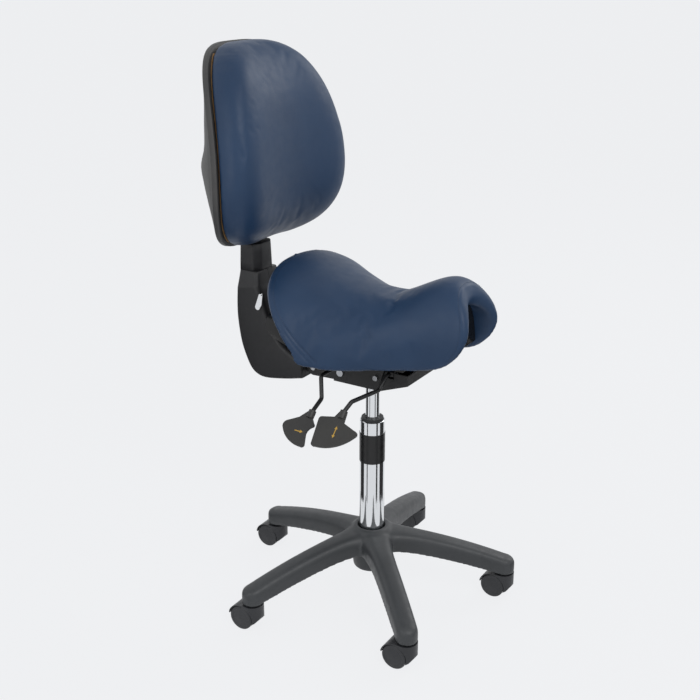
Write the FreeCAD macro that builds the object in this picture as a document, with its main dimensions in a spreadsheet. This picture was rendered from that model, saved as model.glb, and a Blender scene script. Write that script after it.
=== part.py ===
import FreeCAD, Part
import math
import os
import Sketcher
from FreeCAD import Placement, Rotation, Vector

# Saddle stool on a five-arm base with casters, gas lift, tilting saddle seat and backrest.
# Origin: on the floor at the column's axis. +Z up, the front of the seat is -Y, the levers are on -X.

doc = FreeCAD.newDocument("saddle_stool")
sheet = doc.addObject("Spreadsheet::Sheet", "sizes")

# Driving dimensions: name, millimetres or degrees, what it is.
SIZES = [
    ("fit", 0.05, "radial clearance of pins, axles and sliding fits"),
    ("soft_gap", 0.3, "clearance between shaped faces of two pieces"),
    ("arm_count", 5, "arms of the base"),
    ("arm_reach", 272, "column axis to caster stem"),
    ("arm_turn", 8.8, "direction of the first arm from +X"),
    ("arm_width", 42, "arm width at its outer end"),
    ("arm_root_width", 46, "arm width at the hub"),
    ("arm_root_top", 150, "top of the arm at the hub"),
    ("arm_root_depth", 44, "arm height at the hub"),
    ("arm_end_depth", 36, "arm height at its end"),
    ("stem_collar", 1, "caster stem between the arm and the caster"),
    ("arm_crown", 9, "rise of the arm's back above a straight line"),
    ("arm_wall", 4, "wall of the moulded arm"),
    ("hub_wall", 18, "wall of the hub round the column tube"),
    ("hub_top", 153, "top of the hub"),
    ("hub_bottom", 58, "underside of the hub"),
    ("stem_radius", 5.5, "caster stem in the arm"),
    ("stem_grip", 30, "stem length in the arm"),
    ("pivot_radius", 4.5, "caster stem in the caster"),
    ("wheel_radius", 25, "caster wheel"),
    ("wheel_inner", 8, "inner face of a wheel from the caster's middle"),
    ("wheel_outer", 21.5, "outer face of a wheel from the caster's middle"),
    ("web_half", 7.5, "half the caster's middle web"),
    ("trail", 16, "caster stem to wheel axle"),
    ("hood_gap", 3, "hood of the caster outside its wheels"),
    ("heel_radius", 21, "front of the caster's body about the stem"),
    ("caster_roof", 1, "top of the caster above its hood"),
    ("axle_radius", 3, "caster axle"),
    ("tube_radius", 25, "outer column tube"),
    ("tube_wall", 2, "wall of the column tube"),
    ("tube_bottom", 62, "lower end of the column tube"),
    ("tube_top", 385, "upper end of the column tube"),
    ("tube_taper", 1, "radius lost in the hub's taper"),
    ("band_length", 62, "black column band"),
    ("chrome_rim", 27, "bright tube above the column band"),
    ("band_skin", 0.5, "thickness of the column band"),
    ("bush_length", 85, "guide bush in the column tube"),
    ("bush_lip", 5, "lip of the guide bush above the tube"),
    ("gas_radius", 14, "gas cylinder"),
    ("gas_length", 343, "gas cylinder"),
    ("gas_top", 503, "upper end of the gas cylinder"),
    ("rod_radius", 5, "piston rod"),
    ("rod_length", 272, "piston rod above the foot of the column tube"),
    ("button_radius", 4, "release pin of the gas cylinder"),
    ("button_proud", 4, "release pin above the cylinder"),
    ("socket_length", 45, "taper socket below the cylinder's upper end"),
    ("socket_wall", 3, "wall of the taper socket"),
    ("mech_half", 50, "half width of the mechanism housing"),
    ("mech_sink", 33, "underside of the mechanism housing below the cylinder's upper end"),
    ("mech_depth", 42, "height of the mechanism housing"),
    ("mech_front", 105, "front of the housing from the column axis"),
    ("mech_ramp", 60, "sloping front of the housing's underside"),
    ("mech_nose", 20, "upright front wall of the housing"),
    ("mech_rear", 58, "rear of the housing from the column axis"),
    ("sheet_wall", 3, "sheet metal of the mechanism"),
    ("tilt_axle_back", -40, "tilt axle behind the column axis"),
    ("tilt_axle_rise", 28, "tilt axle above the housing's underside"),
    ("tilt_axle_radius", 5, "tilt axle"),
    ("clamp_back", 42, "tilt clamp bolt behind the column axis"),
    ("clamp_rise", 20, "tilt clamp bolt above the housing's underside"),
    ("clamp_radius", 4, "tilt clamp bolt"),
    ("lever_pin_inset", 6, "lever pins inside the housing's side"),
    ("lever_pin_radius", 3, "lever pins"),
    ("lever_knuckle", 7, "outside of the levers' knuckles"),
    ("height_lever_front", 65, "height lever in front of the column axis"),
    ("height_lever_rise", 39, "height lever's pin above the housing's underside"),
    ("tilt_lever_rise", 37, "tilt lever's pin above the housing's underside"),
    ("lever_radius", 4, "bent rod of the levers"),
    ("paddle_thick", 5, "lever paddles"),
    ("paddle_slope", 45, "slope of the lever paddles"),
    ("plate_gap", 12, "seat plate above the housing"),
    ("plate_thick", 4, "seat plate"),
    ("plate_beyond", 15, "seat plate beyond the housing on each side"),
    ("seat_screw_side", 40, "seat screws beside the middle"),
    ("seat_screw_front", 88, "front seat screws from the column axis"),
    ("seat_screw_rear", 70, "rear seat screws from the column axis"),
    ("screw_radius", 4, "seat screws"),
    ("deck_thick", 5, "mounting deck of the seat shell"),
    ("shell_thick", 5, "wall of the seat shell"),
    ("seat_front", 226, "front of the seat from the column axis"),
    ("seat_rear", 178, "rear of the seat from the column axis"),
    ("seat_half", 173, "half width of the seat at its widest"),
    ("flap_thick", 20, "foam thickness of the seat's flaps"),
    ("crown_thick", 58, "foam thickness of the seat's ridge"),
    ("nose_thick", 42, "foam thickness of the ridge at the front"),
    ("nose_reach", 38, "nose of the seat in front of its shell"),
    ("tail_reach", 18, "rear of the seat behind its shell"),
    ("shell_lift", 12, "lower edge of the seat shell above the flaps' edges"),
    ("pivot_reach", 60, "back pivot behind the housing"),
    ("pivot_rise", 8, "back pivot above the housing's underside"),
    ("pivot_pin", 5, "back pivot pin"),
    ("knuckle_radius", 12, "knuckle of the back bar"),
    ("bar_thick", 8, "flat steel back bar"),
    ("bar_half", 20, "half width of the back bar"),
    ("bar_back", 284, "rear face of the upright bar"),
    ("bar_below", 15, "underside of the bar's lower run below the back pivot"),
    ("bar_bend", 74, "outer radius of the bar's bend"),
    ("bar_reach", 23, "upper end of the back bar above the middle of the backrest"),
    ("sleeve_half", 31, "half width of the bar's sleeve"),
    ("sleeve_ahead", 37, "front of the sleeve in front of the bar's rear face"),
    ("sleeve_behind", 6, "rear of the sleeve behind the bar's rear face"),
    ("sleeve_rise", 192, "lower end of the sleeve above the bar's lower run"),
    ("sleeve_length", 53, "sleeve on the upright bar"),
    ("cover_half", 45, "half width of the bracket cover"),
    ("cover_wall", 3, "wall of the plastic covers"),
    ("lock_ahead", 48, "back lock shaft in front of the bar's rear face"),
    ("lock_rise", 125, "back lock shaft above the bar's lower run"),
    ("lock_radius", 4, "back lock shaft"),
    ("back_half_width", 179, "half width of the backrest"),
    ("back_half_height", 190, "half height of the backrest"),
    ("back_taper", 0.17, "narrowing of the backrest towards its top"),
    ("back_wings", 1.17, "forward curve of the backrest's sides"),
    ("back_lumbar", 30, "forward bulge of the backrest at mid height"),
    ("back_behind", 3.3, "middle of the backrest behind the bar's rear face"),
    ("back_rise", 439, "middle of the backrest above the bar's lower run"),
    ("recline", 6.2, "backward lean of the backrest"),
    ("back_foam", 62, "foam thickness of the backrest"),
    ("back_edge", 14, "foam edge and shell flange of the backrest"),
    ("board_thick", 9, "inner board of the backrest"),
    ("board_screw", 2.5, "screws of the inner board"),
]

for row, (name, size, note) in enumerate(SIZES, 1):
    sheet.set("A%d" % row, name)
    sheet.set("B%d" % row, str(size))
    sheet.setAlias("B%d" % row, name)
    sheet.set("C%d" % row, note)
doc.recompute()

PARTS = []


# Places that follow from the sizes. A place that uses another stands before it.
PLACES = [
    ("hub_radius", "$tube_radius + $hub_wall"),
    ("arm_end_top", "$arm_end_bottom + $arm_end_depth"),
    ("arm_end_bottom", "$caster_top + $stem_collar"),
    ("caster_top", "2 * $wheel_radius + $hood_gap + $caster_roof"),
    ("hood_radius", "$wheel_radius + $hood_gap"),
    ("band_bottom", "$band_top - $band_length"),
    ("band_top", "$tube_top - $chrome_rim"),
    ("rod_top", "$tube_bottom + $rod_length"),
    ("gas_bottom", "$gas_top - $gas_length"),
    ("socket_bottom", "$gas_top - $socket_length"),
    ("socket_radius", "$gas_radius + $socket_wall"),
    ("shell_setback", "$seat_front - $nose_reach"),
    ("shell_rear", "$seat_rear - $tail_reach"),
    ("sleeve_top", "$sleeve_bottom + $sleeve_length"),
    ("sleeve_bottom", "$bar_drop + $sleeve_rise"),
    ("sleeve_front", "$bar_back - $sleeve_ahead"),
    ("sleeve_back", "$bar_back + $sleeve_behind"),
    ("lock_back", "$bar_back - $lock_ahead"),
    ("lock_height", "$bar_drop + $lock_rise"),
    ("back_place", "$bar_back + $back_behind"),
    ("bar_top", "$back_height + $bar_reach"),
    ("back_height", "$bar_drop + $back_rise"),
    ("bar_drop", "$pivot_height - $bar_below"),
    ("pivot_height", "$mech_floor + $pivot_rise"),
    ("pivot_back", "$mech_rear + $pivot_reach"),
    ("plate_half", "$mech_half + $plate_beyond"),
    ("plate_bottom", "$mech_top + $plate_gap"),
    ("tilt_axle_height", "$mech_floor + $tilt_axle_rise"),
    ("clamp_height", "$mech_floor + $clamp_rise"),
    ("lever_pin_side", "$mech_half - $lever_pin_inset"),
    ("height_lever_height", "$mech_floor + $height_lever_rise"),
    ("tilt_lever_height", "$mech_floor + $tilt_lever_rise"),
    ("mech_top", "$mech_floor + $mech_depth"),
    ("mech_floor", "$gas_top - $mech_sink"),
]


def link(text):
    """Turn $name into a reference to the sheet's cell, or into the expression of a place."""
    text = str(text)
    for name, expression in PLACES:
        text = text.replace("$" + name, "(%s)" % expression)
    return text.replace("$", "sizes.")


def size(text):
    """Value of an expression of the sheet's sizes."""
    return float(sheet.evalExpression(link(text)))


def role(body, name):
    return [item for item in body.Origin.OriginFeatures if item.Role == name][0]


def new_body(label):
    body = doc.addObject("PartDesign::Body", label)
    body.Label = label
    PARTS.append(body)
    return body


def sketch(body, plane, offset="0", along="0"):
    """Sketch on an origin plane of the body, moved along its normal and along its first axis."""
    drawing = body.newObject("Sketcher::SketchObject", body.Label + "_sketch")
    drawing.AttachmentSupport = [(role(body, plane), "")]
    drawing.MapMode = "FlatFace"
    drawing.AttachmentOffset = Placement(Vector(size(along), 0, size(offset)), Rotation())
    drawing.setExpression("AttachmentOffset.Base.z", link(offset))
    drawing.setExpression("AttachmentOffset.Base.x", link(along))
    return drawing


def hold(drawing, edge, end, x, y):
    """Tie a point of the sketch to two expressions."""
    for kind, text in (("DistanceX", x), ("DistanceY", y)):
        number = drawing.addConstraint(Sketcher.Constraint(kind, -1, 1, edge, end, size(text)))
        drawing.setExpression("Constraints[%d]" % number, link(text))


def outline(drawing, corners):
    """Closed outline of (x, y) corners. An edge that leaves (x, y, mx, my) is an arc by way of (mx, my).

    Corners of an outline of straight edges are tied to the sheet by constraints. An outline with arcs
    is drawn at the places that the sheet's sizes give.
    """
    spots = [Vector(size(c[0]), size(c[1]), 0) for c in corners]
    count = len(corners)
    if all(len(corner) == 2 for corner in corners):
        edges = []
        for i in range(count):
            edges.append(drawing.addGeometry(Part.LineSegment(spots[i], spots[(i + 1) % count]), False))
        for i in range(count):
            drawing.addConstraint(Sketcher.Constraint("Coincident", edges[i], 2, edges[(i + 1) % count], 1))
        for edge, corner in zip(edges, corners):
            hold(drawing, edge, 1, corner[0], corner[1])
        return
    for i, corner in enumerate(corners):
        first = spots[i]
        last = spots[(i + 1) % count]
        if len(corner) == 4:
            middle = Vector(size(corner[2]), size(corner[3]), 0)
            if (middle - first).cross(last - middle).z < 0:
                first, last = last, first
            drawing.addGeometry(Part.Arc(first, middle, last), False)
        else:
            drawing.addGeometry(Part.LineSegment(first, last), False)


def circle(drawing, x, y, radius):
    middle = Vector(size(x), size(y), 0)
    edge = drawing.addGeometry(Part.Circle(middle, Vector(0, 0, 1), size(radius)), False)
    number = drawing.addConstraint(Sketcher.Constraint("Radius", edge, size(radius)))
    drawing.setExpression("Constraints[%d]" % number, link(radius))
    hold(drawing, edge, 3, x, y)


def rectangle(drawing, x_low, x_high, y_low, y_high):
    outline(drawing, [(x_low, y_low), (x_high, y_low), (x_high, y_high), (x_low, y_high)])


def pad(body, drawing, length, symmetric=False, flip=False):
    feature = body.newObject("PartDesign::Pad", body.Label + "_pad")
    feature.Profile = drawing
    feature.setExpression("Length", link(length))
    feature.SideType = "Symmetric" if symmetric else "One side"
    feature.Reversed = flip
    return feature


def pocket(body, drawing, length=None, symmetric=False, flip=False):
    """Cut of a given length, or through everything when no length is given."""
    feature = body.newObject("PartDesign::Pocket", body.Label + "_pocket")
    feature.Profile = drawing
    if length is None:
        feature.Type = "ThroughAll"
    else:
        feature.setExpression("Length", link(length))
    feature.SideType = "Symmetric" if symmetric else "One side"
    feature.Reversed = flip
    return feature


def revolve(body, drawing, axis="V_Axis", cut=False):
    kind = "Groove" if cut else "Revolution"
    feature = body.newObject("PartDesign::" + kind, body.Label + "_" + kind.lower())
    feature.Profile = drawing
    feature.ReferenceAxis = (drawing, [axis])
    feature.Angle = 360
    return feature


def loft(body, drawings, cut=False):
    kind = "SubtractiveLoft" if cut else "AdditiveLoft"
    feature = body.newObject("PartDesign::" + kind, body.Label + "_" + kind.lower())
    feature.Profile = drawings[0]
    feature.Sections = drawings[1:]
    return feature


def repeat_round(body, features, count="$arm_count"):
    """Repeat features about the body's Z axis."""
    pattern = body.newObject("PartDesign::PolarPattern", body.Label + "_pattern")
    pattern.Originals = features
    pattern.Axis = (role(body, "Z_Axis"), [""])
    pattern.Angle = 360
    pattern.Occurrences = int(size(count))
    body.Tip = pattern
    return pattern


def place(item, x="0", y="0", z="0", axis=(0, 0, 1), turn="0"):
    item.Placement = Placement(Vector(0, 0, 0), Rotation(Vector(*axis), size(turn)))
    item.setExpression("Placement.Base.x", link(x))
    item.setExpression("Placement.Base.y", link(y))
    item.setExpression("Placement.Base.z", link(z))
    if str(turn) != "0":
        item.setExpression("Placement.Rotation.Angle", link(turn))


def ring(label, inner, outer, bottom, top):
    """Turned ring about the Z axis."""
    body = new_body(label)
    section = sketch(body, "XZ_Plane")
    rectangle(section, inner, outer, bottom, top)
    revolve(body, section)
    return body


def cylinder(name, radius, length, x, y, z, direction):
    """Part cylinder that starts at x, y, z and runs along the direction."""
    item = doc.addObject("Part::Cylinder", name)
    item.setExpression("Radius", link(radius))
    item.setExpression("Height", link(length))
    spin = Rotation(Vector(0, 0, 1), Vector(*direction))
    item.Placement = Placement(Vector(size(x), size(y), size(z)), spin)
    item.setExpression("Placement.Base.x", link(x))
    item.setExpression("Placement.Base.y", link(y))
    item.setExpression("Placement.Base.z", link(z))
    return item


def box(name, x_low, x_high, y_low, y_high, z_low, z_high):
    item = doc.addObject("Part::Box", name)
    spans = (("x", "Length", x_low, x_high), ("y", "Width", y_low, y_high), ("z", "Height", z_low, z_high))
    for axis, side, low, high in spans:
        item.setExpression("Placement.Base." + axis, link(low))
        item.setExpression(side, "(%s) - (%s)" % (link(high), link(low)))
    return item


def fuse(label, items):
    whole = doc.addObject("Part::MultiFuse", label)
    whole.Shapes = items
    return whole


def cut(label, base, tool):
    whole = doc.addObject("Part::Cut", label)
    whole.Base = base
    whole.Tool = tool
    return whole


def group(label, items):
    """Separate solids that share one node."""
    whole = doc.addObject("Part::Compound", label)
    whole.Links = items
    return whole


def keep(item, label):
    item.Label = label
    PARTS.append(item)
    return item


def arm_angle(number):
    return size("$arm_turn") + 360.0 / size("$arm_count") * number


# Base

def arm_section(body, station, inset, floor):
    """Section of an arm across its length: a flat floor, straight sides and a rounded back."""
    share = "((%s) / $arm_reach)" % station
    half = "(($arm_root_width + ($arm_width - $arm_root_width) * %s) / 2 - %s)" % (share, inset)
    line = "($arm_root_top + ($arm_end_top - $arm_root_top) * %s)" % share
    top = "(%s + 4 * $arm_crown * %s * (1 - %s) - %s)" % (line, share, share, inset)
    start = "($arm_root_top - $arm_root_depth)"
    bottom = "(%s + ($arm_end_bottom - %s) * %s ^ 1.6 + %s)" % (start, start, share, floor)
    bevel = "(%s * 0.62)" % half
    middle = "(%s * 0.29)" % bevel
    section = sketch(body, "YZ_Plane", station)
    outline(section, [
        ("-" + half, bottom),
        (half, bottom),
        (half, "%s - %s" % (top, bevel), "%s - %s" % (half, middle), "%s - %s" % (top, middle)),
        ("%s - %s" % (half, bevel), top),
        ("%s - %s" % (bevel, half), top, "%s - %s" % (middle, half), "%s - %s" % (top, middle)),
        ("-" + half, "%s - %s" % (top, bevel)),
    ])
    return section


def star_base():
    """One moulded piece: hub, five channel arms and their stem sockets."""
    body = new_body("star_base")
    hub = sketch(body, "XZ_Plane")
    outline(hub, [
        ("$tube_radius - $tube_taper + $fit", "$hub_bottom"),
        ("$hub_radius - 15", "$hub_bottom"),
        ("$hub_radius - 6", "$hub_bottom + 7"),
        ("$hub_radius", "$hub_bottom + 45"),
        ("$hub_radius", "$hub_top - 9"),
        ("$hub_radius - 10", "$hub_top"),
        ("$tube_radius + $fit", "$hub_top"),
    ])
    revolve(body, hub)
    stations = ["$hub_radius - 7", "$arm_reach * 0.4", "$arm_reach * 0.7", "$arm_reach - 6"]
    arm = loft(body, [arm_section(body, station, "0", "0") for station in stations])
    end = sketch(body, "XZ_Plane", along="$arm_reach")
    outline(end, [
        ("0", "$arm_end_bottom"),
        ("$arm_width / 2", "$arm_end_bottom"),
        ("$arm_width / 2", "$arm_end_top - 13", "$arm_width / 2 - 3.8", "$arm_end_top - 3.8"),
        ("$arm_width / 2 - 13", "$arm_end_top"),
        ("0", "$arm_end_top"),
    ])
    tip = revolve(body, end)
    hollow_stations = ["$hub_radius + 6", "$arm_reach * 0.4", "$arm_reach * 0.7",
                       "$arm_reach - $arm_width / 2 - 5"]
    hollow = loft(body, [arm_section(body, s, "$arm_wall", "-20") for s in hollow_stations], cut=True)
    ribs = []
    for share in (0.36, 0.56, 0.76):
        rib = sketch(body, "XZ_Plane")
        start = "$arm_reach * %s" % share
        top = "$arm_root_top + ($arm_end_top - $arm_root_top) * %s" % share
        rectangle(rib, start, start + " + 3", top + " - 26", top + " - 1")
        ribs.append(pad(body, rib, "$arm_width - $arm_wall", symmetric=True))
    socket = sketch(body, "XY_Plane", "$arm_end_bottom - 1")
    circle(socket, "$arm_reach", "0", "$stem_radius + $fit")
    bore = pocket(body, socket, "$stem_grip + 1", flip=True)
    repeat_round(body, [arm, tip, hollow] + ribs + [bore])
    place(body, turn="$arm_turn")


def caster_stems():
    """Five steel stems, each gripped in an arm, with a collar and a pivot for the caster."""
    stems = []
    for number in range(int(size("$arm_count"))):
        across = "$arm_reach * cos($arm_turn + 360 / $arm_count * %d)" % number
        back = "$arm_reach * sin($arm_turn + 360 / $arm_count * %d)" % number
        grip = cylinder("stem_grip", "$stem_radius", "$stem_grip - 1",
                        across, back, "$arm_end_bottom", (0, 0, 1))
        collar = cylinder("stem_collar", "$stem_radius + 2.5", "$arm_end_bottom - $caster_top - 0.1",
                          across, back, "$caster_top + 0.1", (0, 0, 1))
        pivot = cylinder("stem_pivot", "$pivot_radius", "$caster_top - 24", across, back, "24.5", (0, 0, 1))
        stems.append(fuse("stem", [grip, collar, pivot]))
    keep(group("caster_stems", stems), "caster_stems")


def caster_body(label):
    """Moulded hood and web of a caster, drawn with its stem's axis at the origin."""
    body = new_body(label)
    side = sketch(body, "YZ_Plane")
    outline(side, [
        ("$trail + $hood_radius * cos(12)", "$wheel_radius + $hood_radius * sin(12)",
         "$trail + $hood_radius * cos(50)", "$wheel_radius + $hood_radius * sin(50)"),
        ("$trail + $hood_radius * cos(86)", "$wheel_radius + $hood_radius * sin(86)"),
        ("$trail - 4", "$caster_top"),
        ("-$heel_radius - 3", "$caster_top"),
        ("-$heel_radius - 3", "32"),
        ("-$heel_radius + 7", "19"),
        ("-5", "14"),
        ("$trail - 8", "7"),
        ("$trail + 8", "7"),
    ])
    pad(body, side, "2 * $wheel_outer + 1", symmetric=True)
    for direction in (1, -1):
        well = sketch(body, "YZ_Plane", "%d * $web_half" % direction)
        circle(well, "$trail", "$wheel_radius", "$wheel_radius + 1")
        pocket(body, well, "40", flip=direction > 0)
    plan = sketch(body, "XY_Plane", "$caster_top + 1")
    side_line = "$wheel_outer + 0.5"
    outline(plan, [
        ("-60", "-60"),
        ("60", "-60"),
        ("60", "0"),
        (side_line, "0", "(%s) * sin(50)" % side_line, "-$heel_radius * cos(50)"),
        ("0", "-$heel_radius", "-(%s) * sin(50)" % side_line, "-$heel_radius * cos(50)"),
        ("-(%s)" % side_line, "0"),
        ("-60", "0"),
    ])
    pocket(body, plan)
    stem = sketch(body, "XY_Plane", "$caster_top")
    circle(stem, "0", "0", "$pivot_radius + $fit")
    pocket(body, stem, "$caster_top - 24")
    axle = sketch(body, "YZ_Plane")
    circle(axle, "$trail", "$wheel_radius", "$axle_radius + $fit")
    pocket(body, axle, "80", symmetric=True)
    return body


def wheel(label):
    """Turned wheel about the X axis, its inner face towards the caster's web."""
    body = new_body(label)
    section = sketch(body, "XY_Plane")
    outline(section, [
        ("$wheel_inner", "$axle_radius + $fit"),
        ("$wheel_inner", "9"),
        ("$wheel_inner + 1", "10.5"),
        ("$wheel_inner + 1", "$wheel_radius - 5"),
        ("$wheel_inner", "$wheel_radius - 3.5"),
        ("$wheel_inner", "$wheel_radius - 1.2"),
        ("$wheel_inner + 1.2", "$wheel_radius"),
        ("$wheel_outer - 3", "$wheel_radius", "$wheel_outer - 0.9", "$wheel_radius - 0.9"),
        ("$wheel_outer", "$wheel_radius - 3"),
        ("$wheel_outer", "$wheel_radius - 6"),
        ("$wheel_outer - 0.6", "$wheel_radius - 7"),
        ("$wheel_outer + 0.4", "0"),
        ("$wheel_outer - 1.5", "0"),
        ("$wheel_outer - 1.5", "$axle_radius + $fit"),
    ])
    revolve(body, section, "H_Axis")
    return body


def casters():
    for number in range(int(size("$arm_count"))):
        name = "caster_%d" % (number + 1)
        turn = "$arm_turn + 360 / $arm_count * %d" % number
        across = "$arm_reach * cos(%s)" % turn
        back = "$arm_reach * sin(%s)" % turn
        place(caster_body(name + "_body"), across, back)
        axle = cylinder(name + "_axle", "$axle_radius", "2 * $wheel_outer - 4",
                        across + " - $wheel_outer + 2", back + " + $trail", "$wheel_radius", (1, 0, 0))
        keep(axle, name + "_axle")
        middle = back + " + $trail"
        place(wheel(name + "_wheel_left"), across, middle, "$wheel_radius")
        place(wheel(name + "_wheel_right"), across, middle, "$wheel_radius", turn="180")


# Column and gas lift

def column_tube():
    body = new_body("column_tube")
    wall = sketch(body, "XZ_Plane")
    outline(wall, [
        ("$rod_radius + $fit", "$tube_bottom"),
        ("$tube_radius - $tube_taper", "$tube_bottom"),
        ("$tube_radius", "$hub_top"),
        ("$tube_radius", "$tube_top - 1"),
        ("$tube_radius - 1", "$tube_top"),
        ("$tube_radius - $tube_wall", "$tube_top"),
        ("$tube_radius - $tube_wall", "$hub_top"),
        ("$tube_radius - $tube_wall - $tube_taper", "$tube_bottom + 4"),
        ("$rod_radius + $fit", "$tube_bottom + 4"),
    ])
    revolve(body, wall)


def guide_bush():
    body = new_body("guide_bush")
    wall = sketch(body, "XZ_Plane")
    outline(wall, [
        ("$gas_radius + $fit", "$tube_top - $bush_length"),
        ("$tube_radius - $tube_wall - $fit", "$tube_top - $bush_length"),
        ("$tube_radius - $tube_wall - $fit", "$tube_top"),
        ("$tube_radius - 2.5", "$tube_top"),
        ("$tube_radius - 3.5", "$tube_top + $bush_lip"),
        ("$gas_radius + $fit", "$tube_top + $bush_lip"),
    ])
    revolve(body, wall)


def piston_rod():
    body = new_body("piston_rod")
    wall = sketch(body, "XZ_Plane")
    outline(wall, [
        ("0", "$tube_bottom - 3"),
        ("$rod_radius", "$tube_bottom - 3"),
        ("$rod_radius", "$rod_top - 14"),
        ("$gas_radius - 2 - 2 * $fit", "$rod_top - 14"),
        ("$gas_radius - 2 - 2 * $fit", "$rod_top"),
        ("0", "$rod_top"),
    ])
    revolve(body, wall)


def gas_cylinder():
    body = new_body("gas_cylinder")
    wall = sketch(body, "XZ_Plane")
    outline(wall, [
        ("$gas_radius - 2", "$gas_bottom"),
        ("$gas_radius", "$gas_bottom"),
        ("$gas_radius", "$socket_bottom"),
        ("$gas_radius - 0.8", "$gas_top"),
        ("$button_radius + $fit", "$gas_top"),
        ("$button_radius + $fit", "$gas_top - 33"),
        ("$gas_radius - 2", "$gas_top - 33"),
    ])
    revolve(body, wall)


def taper_socket():
    body = new_body("taper_socket")
    wall = sketch(body, "XZ_Plane")
    outline(wall, [
        ("$gas_radius + $fit", "$socket_bottom"),
        ("$socket_radius", "$socket_bottom"),
        ("$socket_radius", "$mech_floor + $sheet_wall"),
        ("$socket_radius + 12", "$mech_floor + $sheet_wall"),
        ("$socket_radius + 12", "$mech_floor + $sheet_wall + 4"),
        ("$socket_radius + 2", "$mech_floor + $sheet_wall + 8"),
        ("$socket_radius", "$gas_top - 1"),
        ("$gas_radius - 0.8 + $fit", "$gas_top - 1"),
    ])
    revolve(body, wall)


def lift():
    column_tube()
    guide_bush()
    skin = "$tube_radius + $fit"
    ring("column_band", skin, skin + " + $band_skin", "$band_bottom", "$band_top")
    piston_rod()
    rod = "$rod_radius + $fit"
    ring("retaining_clip", rod, "$rod_radius + 4", "$tube_bottom - 2", "$tube_bottom - 0.1")
    ring("thrust_bearing", rod, "$rod_radius + 7", "$tube_bottom + 4.1", "$tube_bottom + 11")
    ring("rubber_buffer", rod, "$rod_radius + 6", "$tube_bottom + 11", "$tube_bottom + 32")
    gas_cylinder()
    ring("rod_gland", rod, "$gas_radius - 2 - $fit", "$gas_bottom", "$gas_bottom + 18")
    button = cylinder("release_button", "$button_radius", "$button_proud + 29",
                      "0", "0", "$gas_top - 29", (0, 0, 1))
    keep(button, "release_button")
    taper_socket()


# Mechanism under the seat

# Middle along Y and height of the pins of the height lever and the tilt lever.
LEVER_PIVOTS = (("-$height_lever_front", "$height_lever_height"), ("$clamp_back", "$tilt_lever_height"))


def mechanism_housing():
    """Folded steel tub with ears for the lever pins and holes for the cross shafts."""
    body = new_body("mechanism_housing")
    side = sketch(body, "YZ_Plane")
    outline(side, [
        ("$mech_rear", "$mech_floor"),
        ("$mech_rear", "$mech_top"),
        ("-$mech_front", "$mech_top"),
        ("-$mech_front", "$mech_top - $mech_nose"),
        ("-$mech_front + $mech_ramp", "$mech_floor"),
    ])
    pad(body, side, "2 * $mech_half", symmetric=True)
    room = sketch(body, "YZ_Plane")
    outline(room, [
        ("$mech_rear - $sheet_wall", "$mech_floor + $sheet_wall"),
        ("$mech_rear - $sheet_wall", "$mech_top + 5"),
        ("-$mech_front + $sheet_wall", "$mech_top + 5"),
        ("-$mech_front + $sheet_wall", "$mech_top - $mech_nose + 2.1"),
        ("-$mech_front + $mech_ramp + 0.5", "$mech_floor + $sheet_wall"),
    ])
    pocket(body, room, "2 * $mech_half - 2 * $sheet_wall", symmetric=True)
    for near, pin, top in (
        ("-$height_lever_front - 13", "$height_lever_height", "$height_lever_height + 6"),
        ("-$height_lever_front + 10", "$height_lever_height", "$height_lever_height + 6"),
        ("$clamp_back - 13", "$tilt_lever_height", "$tilt_lever_height + 6"),
        ("$clamp_back + 10", "$tilt_lever_height", "$tilt_lever_height + 6"),
    ):
        face = sketch(body, "XZ_Plane", "-(%s + $sheet_wall)" % near)
        rectangle(face, "-$mech_half + 1", "-$lever_pin_side + 8", "$mech_floor + 14", top)
        pad(body, face, "$sheet_wall")
        hole = sketch(body, "XZ_Plane", "-(%s + $sheet_wall / 2)" % near)
        circle(hole, "-$lever_pin_side", pin, "$lever_pin_radius + $fit")
        pocket(body, hole, "2 * $sheet_wall", symmetric=True)
    floor_hole = sketch(body, "XY_Plane", "$mech_floor + 10")
    circle(floor_hole, "0", "0", "$socket_radius + $fit")
    pocket(body, floor_hole, "20")
    axle = sketch(body, "YZ_Plane")
    circle(axle, "$tilt_axle_back", "$tilt_axle_height", "$tilt_axle_radius + $fit")
    circle(axle, "$clamp_back", "$clamp_height", "$clamp_radius + $fit")
    pocket(body, axle, "4 * $mech_half", symmetric=True)
    for middle, height in LEVER_PIVOTS:
        notch = sketch(body, "YZ_Plane", "-$mech_half - 1")
        rectangle(notch, middle + " - 10.5", middle + " + 10.5", height + " - 9", "$mech_top + 5")
        pocket(body, notch, "$sheet_wall + 2", flip=True)


def cross_shafts():
    """Tilt axle, tilt clamp bolt with its head and nut, and the two lever pins."""
    reach = "$mech_half + 10"
    axle = cylinder("tilt_axle", "$tilt_axle_radius", "2 * ($mech_half + 10)",
                    "-(%s)" % reach, "$tilt_axle_back", "$tilt_axle_height", (1, 0, 0))
    keep(axle, "tilt_axle")
    shank = cylinder("clamp_shank", "$clamp_radius", "2 * $mech_half + 14",
                     "-$mech_half - 2", "$clamp_back", "$clamp_height", (1, 0, 0))
    head = cylinder("clamp_head", "$clamp_radius + 3", "4", "-$mech_half - 4.2",
                    "$clamp_back", "$clamp_height", (1, 0, 0))
    nut = cylinder("clamp_nut", "$clamp_radius + 3.5", "6", "$mech_half + 6",
                   "$clamp_back", "$clamp_height", (1, 0, 0))
    keep(fuse("clamp_bolt", [shank, head, nut]), "clamp_bolt")
    pins = []
    for middle, height in LEVER_PIVOTS:
        pins.append(cylinder("lever_pin", "$lever_pin_radius", "26", "-$lever_pin_side",
                             middle + " - 13", height, (0, 1, 0)))
    keep(group("lever_pins", pins), "lever_pins")


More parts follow.
